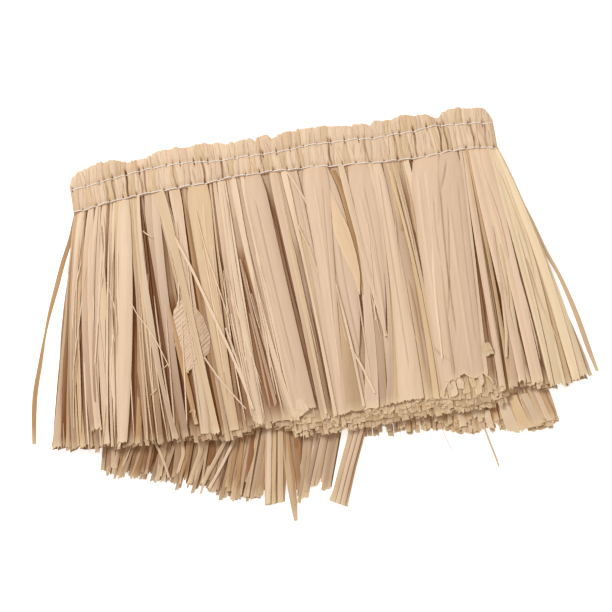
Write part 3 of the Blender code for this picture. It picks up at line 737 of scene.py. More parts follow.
# The back's strands that the photograph shows one by one: two bundles that reach far past the hem,
# each a broad strip with narrow ones on it, and single ends beside them
BACK_BUNDLES = (
    ("beige", 0.14, -1.5, (
        (-31, 160, 12, 4.6), (-36.2, 198, 13.4, 4.3), (-41.6, 230, 14, 2.9), (-43.8, 244, 14.4, 1.8))),
    ("light", 0.1, 0.0, (
        (-35, 165, 2.6, 6), (-40.4, 200, 3, 5.6), (-45.8, 230, 3.2, 4.2), (-48.4, 243.5, 3.2, 3))),
    ("gold", 0.15, 0.0, (
        (-32, 165, 2.2, 6.1), (-36.8, 200, 2.6, 5.7), (-42.4, 230, 2.8, 4.3), (-44.6, 244.5, 3, 3.1))),
    ("beige", 0.12, 0.0, (
        (-28, 165, 3.2, 6), (-32.6, 200, 3.6, 5.6), (-37.6, 230, 3.8, 4.2), (-39.6, 244, 3.8, 3))),
    ("tan", 0.35, 0.0, (
        (-25, 165, 1.6, 4.9), (-29.8, 200, 1.8, 4.6), (-34.6, 230, 2.2, 3.2), (-37.2, 241, 2.2, 2.2))),
    ("beige", 0.2, 0.0, (
        (-27.5, 170, 4.5, 4.8), (-29.4, 205, 6, 4.1), (-30.4, 237, 6.2, 2.9), (-31, 249, 4.4, 2),
        (-31.4, 258, 2.6, 1.3))),
    ("tan", 0.3, 0.0, (
        (-26, 170, 1.6, 5.2), (-27.6, 205, 1.6, 4.6), (-28.6, 232, 1.6, 3.4), (-30, 247, 1, 2.4))),
    ("beige", 0.12, 6.4, (
        (36, 170, 12, 4.4), (22, 201, 12.6, 4.1), (9.6, 228, 12.8, 3.1), (-0.6, 251, 12.2, 1.7))),
    ("beige", 0.08, 1.6, (
        (31.6, 170, 3.4, 5.6), (17.8, 201, 3.4, 5.3), (5.6, 228, 3.2, 4.2), (-4.2, 249.2, 3.2, 2.8))),
    ("light", 0.05, 1.4, (
        (35.4, 170, 2.6, 5.9), (21.4, 201, 2.8, 5.6), (9, 228, 2.8, 4.5), (-1.2, 251, 2.8, 3.1))),
    ("grey", 0.18, 1.6, (
        (38.8, 170, 3, 5.7), (24.9, 201, 3.2, 5.4), (12.6, 228, 3.2, 4.3), (2.2, 252.7, 3, 2.9))),
    ("tan", 0.3, 0.0, (
        (41.4, 170, 1.4, 4.9), (27.4, 201, 1.6, 4.6), (15.2, 228, 1.6, 3.6), (4.8, 253.9, 1.6, 2.2))),
    ("beige", 0.55, 0.0, (
        (-24, 170, 5, 3.4), (-26, 200, 5.4, 3), (-28, 222, 5, 1.8), (-29, 235, 4.4, 1.2))),
    ("tan", 0.45, 0.0, ((-18, 170, 4, 3.6), (-21, 200, 5, 3.2), (-25, 225, 4.6, 2), (-27, 237, 3.6, 1.3))),
    ("beige", 0.35, 0.0, (
        (-10, 180, 3.4, 4), (-16, 206, 3.6, 3.4), (-21, 224, 3, 2.2), (-23.5, 234, 2.2, 1.4))),
    ("beige", 0.25, 0.0, (
        (-8, 180, 2.4, 4.6), (-13, 206, 2.6, 4), (-18.5, 226, 2.2, 2.8), (-21, 238, 1.6, 1.8))),
    ("brown", 0.35, 0.0, ((-18, 180, 6, 3), (-20.5, 202, 7, 2.6), (-24, 218, 6, 1.8), (-26, 226, 4, 1.2))),
    ("brown", 0.45, 0.0, ((-76, 184, 5, 4.4), (-81, 203, 6, 3.5), (-88, 220, 4.6, 2.1))),
    ("brown", 0.45, 0.0, ((-120, 182, 4, 4.2), (-124, 197, 5, 3.3), (-129, 209, 4, 2))),
    ("brown", 0.4, 0.0, ((-50, 184, 4, 4.4), (-54, 205, 5, 3.5), (-60, 226, 4, 2.2))),
    ("beige", 0.05, 1.4, (
        (-66, 186, 3, 5.8), (-72, 197, 3.2, 5.2), (-84, 213, 3.4, 3.9), (-91, 222, 3.4, 2.9))),
    ("light", 0, 1, (
        (-60, 186, 2.2, 5.9), (-66, 198, 2.4, 5.3), (-79, 216, 2.4, 3.9), (-87, 226, 2.2, 2.8))),
    ("tan", 0.3, 0.0, (
        (-57, 188, 2.6, 5.2), (-60, 200, 2.8, 4.6), (-66, 221, 2.8, 3.1), (-70, 232, 2.6, 2.2))),
    ("beige", 0, 0.0, (
        (-100, 186, 2, 5.6), (-101, 200, 2.4, 4.7), (-107, 212, 2.4, 3.2), (-109.5, 217, 2.2, 2.6))),
    ("light", 0.05, 0.0, (
        (-121, 184, 1.6, 5.4), (-117, 195, 1.8, 4.9), (-114.5, 206, 1.8, 3.8), (-113.5, 214, 1.6, 2.8))),
    ("beige", 0.05, 1.2, (
        (-86, 186, 3.4, 5.5), (-89, 200, 3.6, 4.8), (-96.5, 214, 3.6, 3.4), (-100, 220.5, 3.4, 2.8))),
    ("light", 0, 0.0, ((-134, 184, 1, 5.2), (-140, 195, 1.2, 4.6), (-145.5, 203, 1, 3.4))),
    ("beige", 0.06, -1, ((124, 170, 9, 5), (130, 198, 12, 4.9), (134, 210, 15, 4.4), (139, 221, 19, 3.6))),
    ("light", 0.04, 0.0, (
        (122, 176, 2, 5.4), (126.4, 200, 2.6, 5.2), (129, 212, 3, 4.6), (132.4, 221, 3.6, 4))),
    ("gold", 0.08, 0.0, (
        (127, 176, 2, 5.5), (132.6, 198, 2.4, 5.3), (137.4, 210, 2.8, 4.7), (143, 220, 3.4, 4))),
    ("light", 0.06, 0.0, (
        (129, 176, 1.4, 5.5), (136.6, 198, 2, 5.2), (142.6, 209, 2.4, 4.6), (148.6, 218, 2.6, 3.9))),
    ("beige", 0.1, 0.0, ((150, 180, 3, 4.6), (153, 200, 3, 4), (154, 222, 3.2, 2.6))),
    ("beige", 0.1, 0.0, ((153, 184, 2.6, 4.2), (157, 205, 3, 3.2), (158.6, 220, 3, 2.2))),
)
back_strands = quad_mesh(
    "back_strands",
    *joined(
        [
            *[back_layer(*row) for row in BACK_LAYERS],
            path_batch(BACK_BUNDLES, rows=26, across=9, seed=29, wave=0.1, folds=0.5),
        ]
    ),
    split_raffia,
)
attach(back_strands, "root")
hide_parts("back_fringe", "back_bed")

# The front's packed strands: those that show only as brown depth, painted in shade, between the outer
# ones, and as the second and third steps of chopped ends under the right-hand hem. A step is x and how
# far it reaches past the hem. A row is a layer's count, widths, level, uneven reach, painted shade, seed,
# rows and lean.
SECOND_STEP = ((-30.0, -20.0, 120.0, 135.0), (-1.0, 0.5, 0.5, -1.0))
THIRD_STEP = ((-30.0, -20.0, 70.0, 120.0, 135.0), (-2.0, 5.0, 6.5, 6.5, -1.0))
PACKED_TINTS = ("tan", "beige")
PACKED_LAYERS = (
    (70, (9.0, 12.0), -2.2, 2.0, 1.0, 30, 9, 0.5),
    (95, (4.5, 7.0), -1.5, 2.5, 0.9, 31, 9, 3.0),
    (110, (2.0, 4.5), -0.5, 2.5, 0.72, 32, 12, 3.0),
)
PACKED_GAP = 0.75
packed_strands = quad_mesh(
    "packed_strands",
    *joined(
        [
            fan_layer(
                count, width, level, THIRD_STEP, spread, shade, PACKED_TINTS, seed,
                rows=rows, across=4, lean=lean, gap=PACKED_GAP,
            )
            for count, width, level, spread, shade, seed, rows, lean in PACKED_LAYERS
        ]
    ),
    split_raffia,
)
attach(packed_strands, "root")
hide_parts("front_bed")

# The strands just under the outer ones, in layers by count, widths, level, step, uneven reach, shade,
# seed and lean, and the chopped ends of the hem's steps, by count, widths, level, reach past the hem,
# shade and seed, over the part of the fan where they show.
HEM_LINE = ((0.0,), (0.0,))
UNDER_LAYERS = (
    (90, (1.8, 4.5), 0.3, SECOND_STEP, 3.0, 0.62, 33, 3.0),
    (70, (1.6, 4.0), 1.1, SECOND_STEP, 3.0, 0.42, 34, 5.0),
    (45, (1.2, 3.2), 1.9, HEM_LINE, 2.5, 0.22, 35, 8.0),
)
UNDER_GAP = 0.6
HEM_STEPS = (
    (120, (1.0, 3.2), 0.9, 3.2, 0.20, 36),
    (130, (1.0, 3.2), 0.2, 7.0, 0.28, 37),
    (130, (1.0, 3.4), -0.7, 10.6, 0.32, 38),
)
HEM_TINTS = ("light", "gold", "light", "beige")
HEM_SPREAD = 1.5
HEM_LEAN = 3.0
HEM_GAP = 0.3
HEM_START = 168.0
HEM_SPAN = (0.425, 0.87)
under_layers = [
    fan_layer(
        count, width, level, step, spread, shade, PLAIN_TINTS, seed,
        rows=16, across=5, lean=lean, gap=UNDER_GAP,
    )
    for count, width, level, step, spread, shade, seed, lean in UNDER_LAYERS
]
for count, width, level, past, shade, seed in HEM_STEPS:
    reach = ((0.0,), (past,))
    ends = fan_layer(
        count, width, level, reach, HEM_SPREAD, shade, HEM_TINTS, seed,
        rows=9, across=3, lean=HEM_LEAN, gap=HEM_GAP, start=HEM_START, span=HEM_SPAN,
    )
    under_layers.append(ends)
under_strands = quad_mesh("under_strands", *joined(under_layers), split_raffia)
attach(under_strands, "root")
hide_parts("front_fringe_left_under", "front_fringe_right_under")

# The front's outer strands, each cut from its own strip of raffia. A row is one strand: its left
# and right edges at the three stations, where it ends, its height over the pile, its tint and
# whether it lies whole or is split lengthwise into narrow strands that overlap.
OUTER_STRANDS = (
    (-153.2, -150.5, -171.8, -167.6, -191.8, -184, 181, 2, "beige", "whole"),
    (-152.4, -149, -170, -164.8, -187, -176.5, 182, 1.5, "tan", "split"),
    (-151, -144.8, -166.8, -162.3, -178, -171.5, 184, 3, "beige", "split"),
    (-147, -143.5, -162.6, -158, -173, -167, 185, 2, "gold", "split"),
    (-143.4, -136.5, -157.3, -149, -162, -154.5, 175, 3.2, "pink", "split"),
    (-137, -128.8, -150, -142.3, -159, -150, 187, 2.8, "light", "split"),
    (-127.2, -125, -138.8, -136.8, -149.5, -146.8, 187, 2.4, "light", "whole"),
    (-125.2, -122.5, -136.8, -134.6, -147, -144, 187.5, 2.9, "light", "whole"),
    (-122, -114.6, -134.2, -125, -146, -136.5, 188, 3.3, "light", "split"),
    (-112.5, -109.8, -119, -115.5, -133, -127.5, 188.5, 1.6, "tan", "whole"),
    (-112.8, -108.5, -118, -113, -124, -118.5, 189, 2.6, "beige", "split"),
    (-109.5, -105.5, -113.8, -108.5, -117, -113, 190, 3, "beige", "split"),
    (-107.5, -104.5, -112, -107, -108, -101, 190, 3.6, "light", "whole"),
    (-101, -96, -102, -98, -100.5, -95, 190.5, 2, "grey", "split"),
    (-97, -90.5, -101, -93.8, -100, -93.8, 190, 2.9, "grey", "whole"),
    (-92, -84, -86.5, -80, -87, -80.3, 191, 2.2, "light", "split"),
    (-92, -84, -84.4, -78.4, -79, -72.4, 191, 4.3, "beige", "whole"),
    (-82, -74.8, -80, -75, -81, -76, 191, 2.8, "pink", "split"),
    (-74, -71.5, -74.5, -71, -73, -69, 191.5, 1.7, "tan", "whole"),
    (-71, -54.2, -69.8, -58.6, -66.5, -59.8, 190.5, 3.2, "beige", "whole"),
    (-54.6, -52.5, -57.6, -55.4, -60, -57, 190.5, 2.2, "gold", "whole"),
    (-51.2, -46.5, -53.2, -48, -53.5, -47.3, 189, 3, "light", "split"),
    (-46.6, -43.6, -48.2, -43.6, -48, -41.4, 188.5, 3.3, "light", "split"),
    (-43.8, -41.8, -43.8, -41.6, -44.6, -41.2, 190, 2.9, "light", "whole"),
    (-38.6, -34.8, -33.8, -29.6, -24, -19.6, 190.5, 2.5, "light", "split"),
    (-34.4, -30.5, -29.5, -26, -22, -19, 190.5, 2, "grey", "whole"),
    (-31, -28, -27.2, -24.2, -20.8, -18.6, 190, 3, "light", "whole"),
    (-29.2, -14.6, -24.8, -10.4, -19.5, -4.6, 184, 3.7, "pink", "whole"),
    (-9.6, -4.2, -6.3, -0.8, -2.2, 2.2, 192, 2.7, "beige", "split"),
    (-4.6, -1.6, -1.2, 2.2, 2.8, 5.2, 192, 1.5, "grey", "whole"),
    (-1.4, 2.4, 3.6, 5.8, 6.4, 8.6, 192, 3, "light", "whole"),
    (2.2, 4.8, 5.6, 8, 7.6, 9.8, 191, 2.2, "beige", "whole"),
    (4, 9.4, 7.6, 12, 9.4, 12.4, 191.5, 2.6, "grey", "split"),
    (11.4, 30.5, 11.8, 22.8, 10, 15.8, 192, 3.6, "pink", "whole"),
    (24, 25.2, 22.6, 24.4, 15, 28, 191, 3.1, "beige", "whole"),
    (21, 34, 23.7, 38.3, 34, 21, 153, 2.7, "grey", "whole"),
    (40, 43, 40.4, 45.8, 28.6, 38.8, 191.5, 2.9, "grey", "whole"),
    (38.6, 43.2, 45.6, 48.4, 56, 58, 142, 3.9, "light", "whole"),
    (43.5, 61, 47, 57.4, 58, 41.5, 140, 3.5, "pink", "whole"),
    (48, 54, 46.5, 52, 38.6, 44.6, 191, 2.3, "grey", "whole"),
    (59.4, 61.8, 57.4, 60.2, 44.4, 48.4, 190.5, 3.9, "light", "whole"),
    (61, 62.4, 59, 60.8, 48.2, 52.6, 190.5, 3.3, "gold", "whole"),
    (61.4, 69.6, 60.6, 71.2, 52.4, 70.2, 190, 3.4, "light", "whole"),
    (69.8, 74.2, 70.6, 78.2, 70.4, 76, 191.5, 1.8, "grey", "whole"),
    (72.4, 75, 78, 80.4, 76.4, 81, 191.5, 2.8, "gold", "whole"),
    (76, 80, 81.2, 83.4, 81.4, 84, 191.5, 2.6, "beige", "whole"),
    (83.6, 88.6, 86, 90, 87, 92, 192, 2.4, "light", "split"),
    (88.6, 111, 84.2, 104, 83.4, 97, 181, 3.5, "pink", "whole"),
    (108, 124.4, 101.6, 119.4, 93, 113.6, 180.5, 4.1, "pink", "whole"),
    (123.6, 126.6, 118.8, 121.8, 113.4, 116.6, 181, 3.4, "light", "whole"),
    (126.2, 129.6, 124.2, 128.8, 122.8, 127.6, 193, 2.6, "beige", "split"),
    (130, 133, 130.4, 133.4, 129.4, 133, 193, 1.9, "gold", "whole"),
    (131.2, 136.6, 134.2, 141.2, 136.4, 143, 191.5, 2.9, "cream", "split"),
    (134.4, 137.6, 138.2, 142.4, 131, 136.2, 192, 2.2, "pink", "whole"),
    (136.8, 144.8, 142, 149.4, 145.6, 154.6, 193.5, 3.1, "light", "split"),
    (144.8, 148, 151.2, 155.6, 156.6, 160.4, 194.5, 2.8, "cream", "split"),
    (147.4, 150, 156, 161.2, 160.8, 167.8, 197.5, 2.8, "cream", "split"),
    (149.2, 151.4, 159.2, 163.2, 168, 172, 196, 2.2, "gold", "whole"),
    (150.2, 152.4, 162.4, 169, 172.8, 180.6, 194.5, 3, "cream", "split"),
    (151.2, 153.6, 167.6, 171, 179.6, 184.4, 191, 2.6, "cream", "whole"),
)
SPLIT_MM = 3.0
WIDE_MM = 8.5

# How a strip is split: where cuts may fall, how much two neighbours overlap, and the parts' lift and
# drift. A broad whole strip has a narrow strand lying on it every OVERLAY_EVERY_MM of its width. All
# of them vary in width and end, and some take a tint of their own.
CUT_PLACES = (0.08, 0.92)
CUT_OVERLAP = 0.22
CUT_LIFT = (-0.5, 0.4)
CUT_DRIFT = 0.12
OVERLAY_EVERY_MM = 19.0
OVERLAY_PLACES = (0.02, 0.9)
OVERLAY_MM = (0.8, 1.8)
OVERLAY_LIFT = 0.55
OVERLAY_DRIFT = 0.35
LEFTMOST = -0.08
WIDTH_CHANGES = (0.7, 1.3)
OWN_TINT_SHARE = 0.25
UNEVEN_ENDS = (-2.5, 1.5)


def split_rows(rows, seed):
    """Each split row as narrow rows side by side, whose edges cross a little and whose ends differ.
    A wide whole row also gets narrow strands lying on it along its length."""
    random = np.random.default_rng(seed)
    out = []
    for row in rows:
        edges = np.array(row[:6], float).reshape(3, 2)
        end, level, tint, kind = row[6:]
        width = edges[1, 1] - edges[1, 0]
        if kind == "whole":
            out.append(row[:9])
            extra = int(width / OVERLAY_EVERY_MM) if width >= WIDE_MM else 0
            places = [
                (random.uniform(*OVERLAY_PLACES), random.uniform(*OVERLAY_MM) / width, OVERLAY_LIFT)
                for _ in range(extra)
            ]
            drift = OVERLAY_DRIFT
        else:
            parts = max(2, round(width / SPLIT_MM))
            cuts = np.concatenate([[0.0], np.sort(random.uniform(*CUT_PLACES, parts - 1)), [1.0]])
            overlap = CUT_OVERLAP / parts
            places = [
                (low - overlap, high - low + 2.0 * overlap, random.uniform(*CUT_LIFT))
                for low, high in zip(cuts[:-1], cuts[1:])
            ]
            drift = CUT_DRIFT
        for at, wide, lift in places:
            starts = np.clip(at + random.uniform(-drift, drift, 3), LEFTMOST, 1.0)
            wides = wide * random.uniform(*WIDTH_CHANGES, 3)
            lows = edges[:, 0] + (edges[:, 1] - edges[:, 0]) * starts
            highs = lows + (edges[:, 1] - edges[:, 0]) * wides
            tone = picked(PLAIN_TINTS, random, 1)[0] if random.random() < OWN_TINT_SHARE else tint
            both = np.column_stack([lows, highs]).ravel()
            out.append((*both, end + random.uniform(*UNEVEN_ENDS), level + lift, tone))
    return out


# Creases in the broad strips, pressed in as they were packed: their troughs are painted in soft shade
# and their ridges painted lighter.
# A row is a crease's x at three distances down, those distances, its half width, and its depth,
# which is negative for a ridge. A crease fades out over CREASE_FADE at both ends.
CREASES = (
    ((107, 103, 100), (40, 85, 150), 0.45, 0.8),
    ((110, 103.5, 96), (55, 100, 138), 0.4, 0.7),
    ((96, 94, 92.5), (136, 158, 178), 0.4, 0.5),
    ((115, 111.5, 106.5), (22, 34, 46), 0.6, 0.9),
    ((101.5, 99, 98), (46, 70, 96), 0.4, 0.6),
    ((120, 116, 112.5), (40, 90, 160), 0.5, 0.4),
    ((111, 108.5, 106.5), (60, 110, 176), 0.9, -0.6),
    ((93, 90, 88.5), (30, 80, 150), 0.8, -0.5),
    ((82.5, 88, 95), (150, 162, 170), 0.5, 0.8),
    ((95, 101, 107), (170, 173, 174), 0.5, 0.5),
    ((-23, -19.5, -14.5), (30, 90, 160), 0.5, 0.6),
    ((-26, -22, -17), (60, 110, 165), 0.8, -0.5),
    ((-64, -64.5, -63.5), (30, 90, 170), 0.6, 0.5),
    ((-59, -62, -62), (24, 60, 120), 0.5, -0.4),
    ((20, 18.5, 15), (24, 90, 170), 0.7, -0.5),
    ((25.5, 21, 16.5), (26, 80, 140), 0.45, 0.5),
    ((50, 52.5, 49.5), (40, 100, 176), 0.8, -0.5),
    ((54, 55, 51), (30, 90, 160), 0.5, 0.5),
    ((66, 65, 63.5), (24, 90, 170), 0.5, 0.5),
    ((31, 30, 34), (50, 110, 176), 0.5, 0.5),
)
CREASE_FADE = 8.0

# Where the broad strips end: the two widest are torn off in a curve, by their x and distance down
TORN_END = np.array((
    (80, 190), (84, 190), (87, 184), (90, 181), (96, 180.5), (100, 177.5), (104, 181.5), (108, 182.5),
    (113.5, 179.5), (120, 181),
))
TORN_FROM = 83.0
TORN_CURVE = 8


def crease_at(x, down):
    """How deep the broad strips are creased at x and down: a bell across each crease's curved line."""
    depth = np.zeros_like(x)
    for places, stops, half, deep in CREASES:
        line = parabola(np.array(places, float), stops, down)
        starting = np.clip((down - stops[0]) / CREASE_FADE, 0.0, 1.0)
        ending = np.clip((stops[2] - down) / CREASE_FADE, 0.0, 1.0)
        depth = depth + deep * (starting * ending) * np.exp(-(((x - line) / half) ** 2))
    return depth


# Share of its place that a narrow outer strand fills, by its x halfway down: the pile is open on the left
OPEN = np.array(((-60.0, 0.72), (-40.0, 0.80), (-25.0, 1.0), (110.0, 1.0), (125.0, 0.93), (170.0, 0.93)))

# How much the outer strands darken towards the hem, by their x halfway down
DUSKY = np.array(((-60.0, 1.0), (-30.0, 0.6), (-10.0, 0.45), (110.0, 0.4), (130.0, 0.2)))

# An outer strand's shape: how its rows crowd towards the seam, its least width, how it opens over
# OPENING of its length, swells and narrows, waves and is cut
OUTER_CURVE = 1.1
LEAST_WIDTH = 0.4
OPENING = (1.4, 0.1, 1.2)
SWELL = (0.0, 0.22)
SWELL_TURNS = (0.5, 1.6)
OUTER_WAVE = 0.22
SLIM_JAG = 1.2
BROAD_JAG = 0.8
CREASE_MM = 0.7

# Its painted shade: less on strands that stand higher, more towards the hem by its own share, and on
# the broad strips also along their edges and in their creases, whose ridges are painted lighter
OUTER_TINT_SPREAD = 0.03
SHADE_AT_PILE = 0.62
SHADE_PER_LEVEL = 0.22
MOST_SHADE = 0.4
DUSK_FROM = 30.0
DUSK_MM = 140.0
DUSK_SHARE = 0.04
SLIM_DUSK = 0.95
BROAD_DUSK = 0.05
RIM_SHADE = 0.16
RIM_MM = 1.2
TROUGH_SHADE = 0.55
RIDGE_LIGHT = 0.12


def outer_batch(rows_of, rows, across, seed, crown, roll, folds, pitch, creased=False):
    """The ribbons of rows of OUTER_STRANDS, each a parabola through its three places. Creased ones
    are pressed in along CREASES, and those that are torn end along TORN_END."""
    random = np.random.default_rng(seed)
    table = np.array([row[:8] for row in rows_of], float)
    each = (len(table), 1)
    begin = band_at(0.5 * (table[:, 0:1] + table[:, 1:2]), "lower_row") - TUCKED_MM
    end, level = table[:, 6:7], table[:, 7:8]
    t = np.linspace(0.0, 1.0, rows)
    down = begin + (end - begin) * t**OUTER_CURVE
    left = parabola(table[:, 0:6:2], STATIONS, down)
    right = np.maximum(parabola(table[:, 1:6:2], STATIONS, down), left + LEAST_WIDTH)
    middle, half = 0.5 * (left + right), 0.5 * (right - left)
    if not creased:
        opened = at_x(OPEN, table[:, 2:3]) - 1.0
        swell = random.uniform(*SWELL, each)
        uneven = swell * np.sin(TAU * (random.uniform(*SWELL_TURNS, each) * t + random.random(each)))
        rate, from_start, most = OPENING
        half = half * (1.0 + opened * np.clip(rate * t + from_start, 0.0, most) + uneven)
    left, right = middle - half * pinch(middle, down), middle + half * pinch(middle, down)
    base = pile_height(0.5 * (left + right), down, level)
    top = raffia_heights(left, right, base, across, random, crown, roll, OUTER_WAVE, folds, pitch)
    colours = tints([row[8] for row in rows_of], random, OUTER_TINT_SPREAD)
    dusk = at_x(DUSKY, table[:, 2:3]) * np.clip((down - DUSK_FROM) / DUSK_MM, 0.0, 1.0)
    own = BROAD_DUSK if creased else SLIM_DUSK * random.random(each) ** 3
    shade = np.clip(SHADE_AT_PILE - SHADE_PER_LEVEL * level, 0.0, MOST_SHADE) + dusk * (DUSK_SHARE + own)
    if not creased:
        return ribbon_batch(left, right, down, top, RIBBON_MM, colours, shade, random, SLIM_JAG)
    x = left[..., None] + (right - left)[..., None] * np.linspace(0.0, 1.0, across)
    v = np.repeat(down[..., None], across, axis=2)
    top = top - CREASE_MM * crease_at(x, v)
    # Painted shade along both rims and in the creases' troughs, and painted light on their ridges
    rim = RIM_SHADE * np.exp(-np.minimum(x - left[..., None], right[..., None] - x) / RIM_MM)
    both_rims = np.concatenate([rim, rim[..., ::-1]], axis=2)

    def dark(ring_x, ring_v):
        deep = crease_at(ring_x, ring_v)
        return TROUGH_SHADE * np.clip(deep, 0.0, 1.0) - RIDGE_LIGHT * np.clip(-deep, 0.0, 1.0) + both_rims

    torn = np.where(table[:, 4] >= TORN_FROM, 1.0, 0.0)[:, None]
    reach = torn * (at_x(TORN_END, x[:, -1]) - v[:, -1])
    points, quads, uv, tint = ribbon_batch(
        left, right, down, top, RIBBON_MM, colours, shade, random, BROAD_JAG, None, dark
    )
    both_reaches = np.concatenate([reach, reach[:, ::-1]], axis=1)[:, None, :]
    points[:, 1] += (both_reaches * (t**TORN_CURVE)[None, :, None]).ravel()
    return points, quads, uv, tint


# The narrow outer strands are one piece and the broad strips, which have many more points for their
# creases, another
all_rows = split_rows(OUTER_STRANDS, seed=40)
slim_rows = [row for row in all_rows if row[3] - row[2] < WIDE_MM]
slim_batch = outer_batch(
    slim_rows, rows=30, across=7, seed=42, crown=0.10, roll=0.20, folds=0.3, pitch=(0.9, 1.8)
)
outer_strands = quad_mesh("outer_strands", *slim_batch, split_raffia)
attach(outer_strands, "root")
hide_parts("front_fringe_left_over", "front_fringe_right_over")

broad_rows = [row for row in all_rows if row[3] - row[2] >= WIDE_MM]
broad_batch = outer_batch(
    broad_rows, rows=88, across=41, seed=41, crown=0.06, roll=0.05, folds=0.12, pitch=(0.7, 1.4), creased=True
)
broad_strands = quad_mesh("broad_strands", *broad_batch, split_raffia)
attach(broad_strands, "root")

# Strands that lie out of the fan: one hangs loose at each side and drops to the table, and narrow
# ones cross the others on top of the pile. Crumpled bits of the torn ends and fine fibres lie on it
# too. A stop is x, down, width and height above the table.
LOOSE_STRANDS = (
    ("tan", 0.05, 0.0, (
        (-150, 17, 2.4, 7.6), (-153, 26, 2.6, 7.4), (-157.5, 38, 3.4, 7), (-164, 50, 3.6, 6.2),
        (-171.5, 68, 3.6, 4.8), (-177, 80, 3.2, 4), (-181, 90, 2.2, 3.4), (-184.5, 100, 1.4, 3),
        (-188, 110, 2.4, 2.4), (-191.2, 121, 3, 1.9), (-196.6, 136, 3.4, 1.3), (-200, 152, 3.4, 1.1),
        (-203, 175, 2.8, 0.9))),
    ("beige", 0.05, 0.0, (
        (149.6, 21, 2.6, 7.8), (154.4, 40, 3, 8.2), (158.2, 53, 3, 8), (165.4, 75, 3.2, 7.2),
        (168.9, 88, 3.2, 6), (172, 100, 3.2, 4.2), (178, 115, 2.8, 3.2), (183, 135, 3.4, 2.3),
        (186, 150, 3.8, 1.8), (189.4, 172, 3.8, 1.2), (192.6, 189, 2.4, 0.9))),
    ("light", 0, 0.0, (
        (-91, 19, 1.2, 9.2), (-88, 35, 1.6, 10.6), (-82, 52, 2, 11.2), (-75, 72, 2, 11.8),
        (-71, 87, 2, 12.2), (-66, 105, 2, 12.6), (-58, 133, 1.9, 13.2), (-52, 157, 1.7, 13.8),
        (-48, 178, 1.4, 14.2))),
    ("light", 0, 0.0, (
        (-76, 136, 1.2, 13.2), (-68, 153, 1.4, 13.6), (-60, 166, 1.3, 13.9), (-53, 177, 0.8, 14.1))),
    ("beige", 0.1, 0.0, (
        (28.5, 30, 2, 9.8), (31.2, 46, 5.6, 10.9), (33, 62, 11, 11.3), (36, 80, 9, 11.7), (38.4, 95, 5, 12),
        (38.2, 110, 0.5, 12.2))),
    ("light", 0, 0.0, (
        (23.2, 100, 0.8, 12.2), (25, 126, 1.8, 13), (26.9, 152, 1.8, 13.6), (28, 189, 1.7, 14))),
    ("tan", 0.3, 0.0, (
        (34, 17, 4, 7.6), (38.5, 32, 4.6, 9.4), (41, 60, 4.4, 10.2), (41, 90, 3, 10.8),
        (40.6, 110, 1.4, 11))),
    ("light", 0, 0.0, ((2, 13, 1.3, 8.2), (6, 22, 1.5, 10), (11, 35, 1.5, 10.6), (13, 42, 1, 10.8))),
    ("beige", 0, 0.0, ((3.6, 53, 1, 10.8), (9, 72, 1.3, 11.4), (12, 90, 0.9, 11.8))),
    ("light", 0, 0.0, ((25.5, 146, 0.9, 13.2), (31, 160, 1.6, 13.6), (37, 181, 1.4, 14))),
    ("light", 0, 0.0, ((136.5, 118, 1.5, 12.6), (134, 155, 2, 13.4), (131, 171, 1.6, 13.8))),
    ("light", 0, 0.0, (
        (-58, 118, 1.2, 12.8), (-54, 140, 1.4, 13.4), (-50.5, 160, 1.2, 13.8), (-50, 172, 0.8, 14))),
    ("beige", 0, 0.0, (
        (-134, 30, 1, 10.2), (-136, 60, 1.4, 10.9), (-139.5, 100, 1.6, 11.8), (-147, 150, 1.4, 12.4),
        (-153, 178, 1.2, 12.6))),
    ("light", 0, 0.0, (
        (98, 30, 1.2, 10.4), (95, 70, 1.6, 11.4), (90, 120, 1.6, 12.6), (87, 165, 1.2, 13.8))),
    ("grey", 0.35, 0.0, (
        (-40.6, 70, 1.4, 8.9), (-38.4, 110, 1.8, 9.9), (-34.6, 150, 2.2, 10.6), (-31, 188, 2.2, 11.2))),
    ("beige", 0.3, 0.0, ((-40, 110, 0.8, 9.7), (-37.6, 145, 1.4, 10.4), (-36.2, 187, 1.4, 11))),
    ("grey", 0.25, 0.0, (
        (-36.6, 96, 1, 9.8), (-33.4, 130, 1.6, 10.4), (-28.6, 160, 1.8, 11), (-25.2, 188, 1.6, 11.6))),
    ("tan", 0.2, 0.0, (
        (-95, 96, 1.4, 11.4), (-92.5, 130, 3.4, 12), (-90, 160, 3.6, 12.6), (-88.5, 182, 2.4, 13))),
)
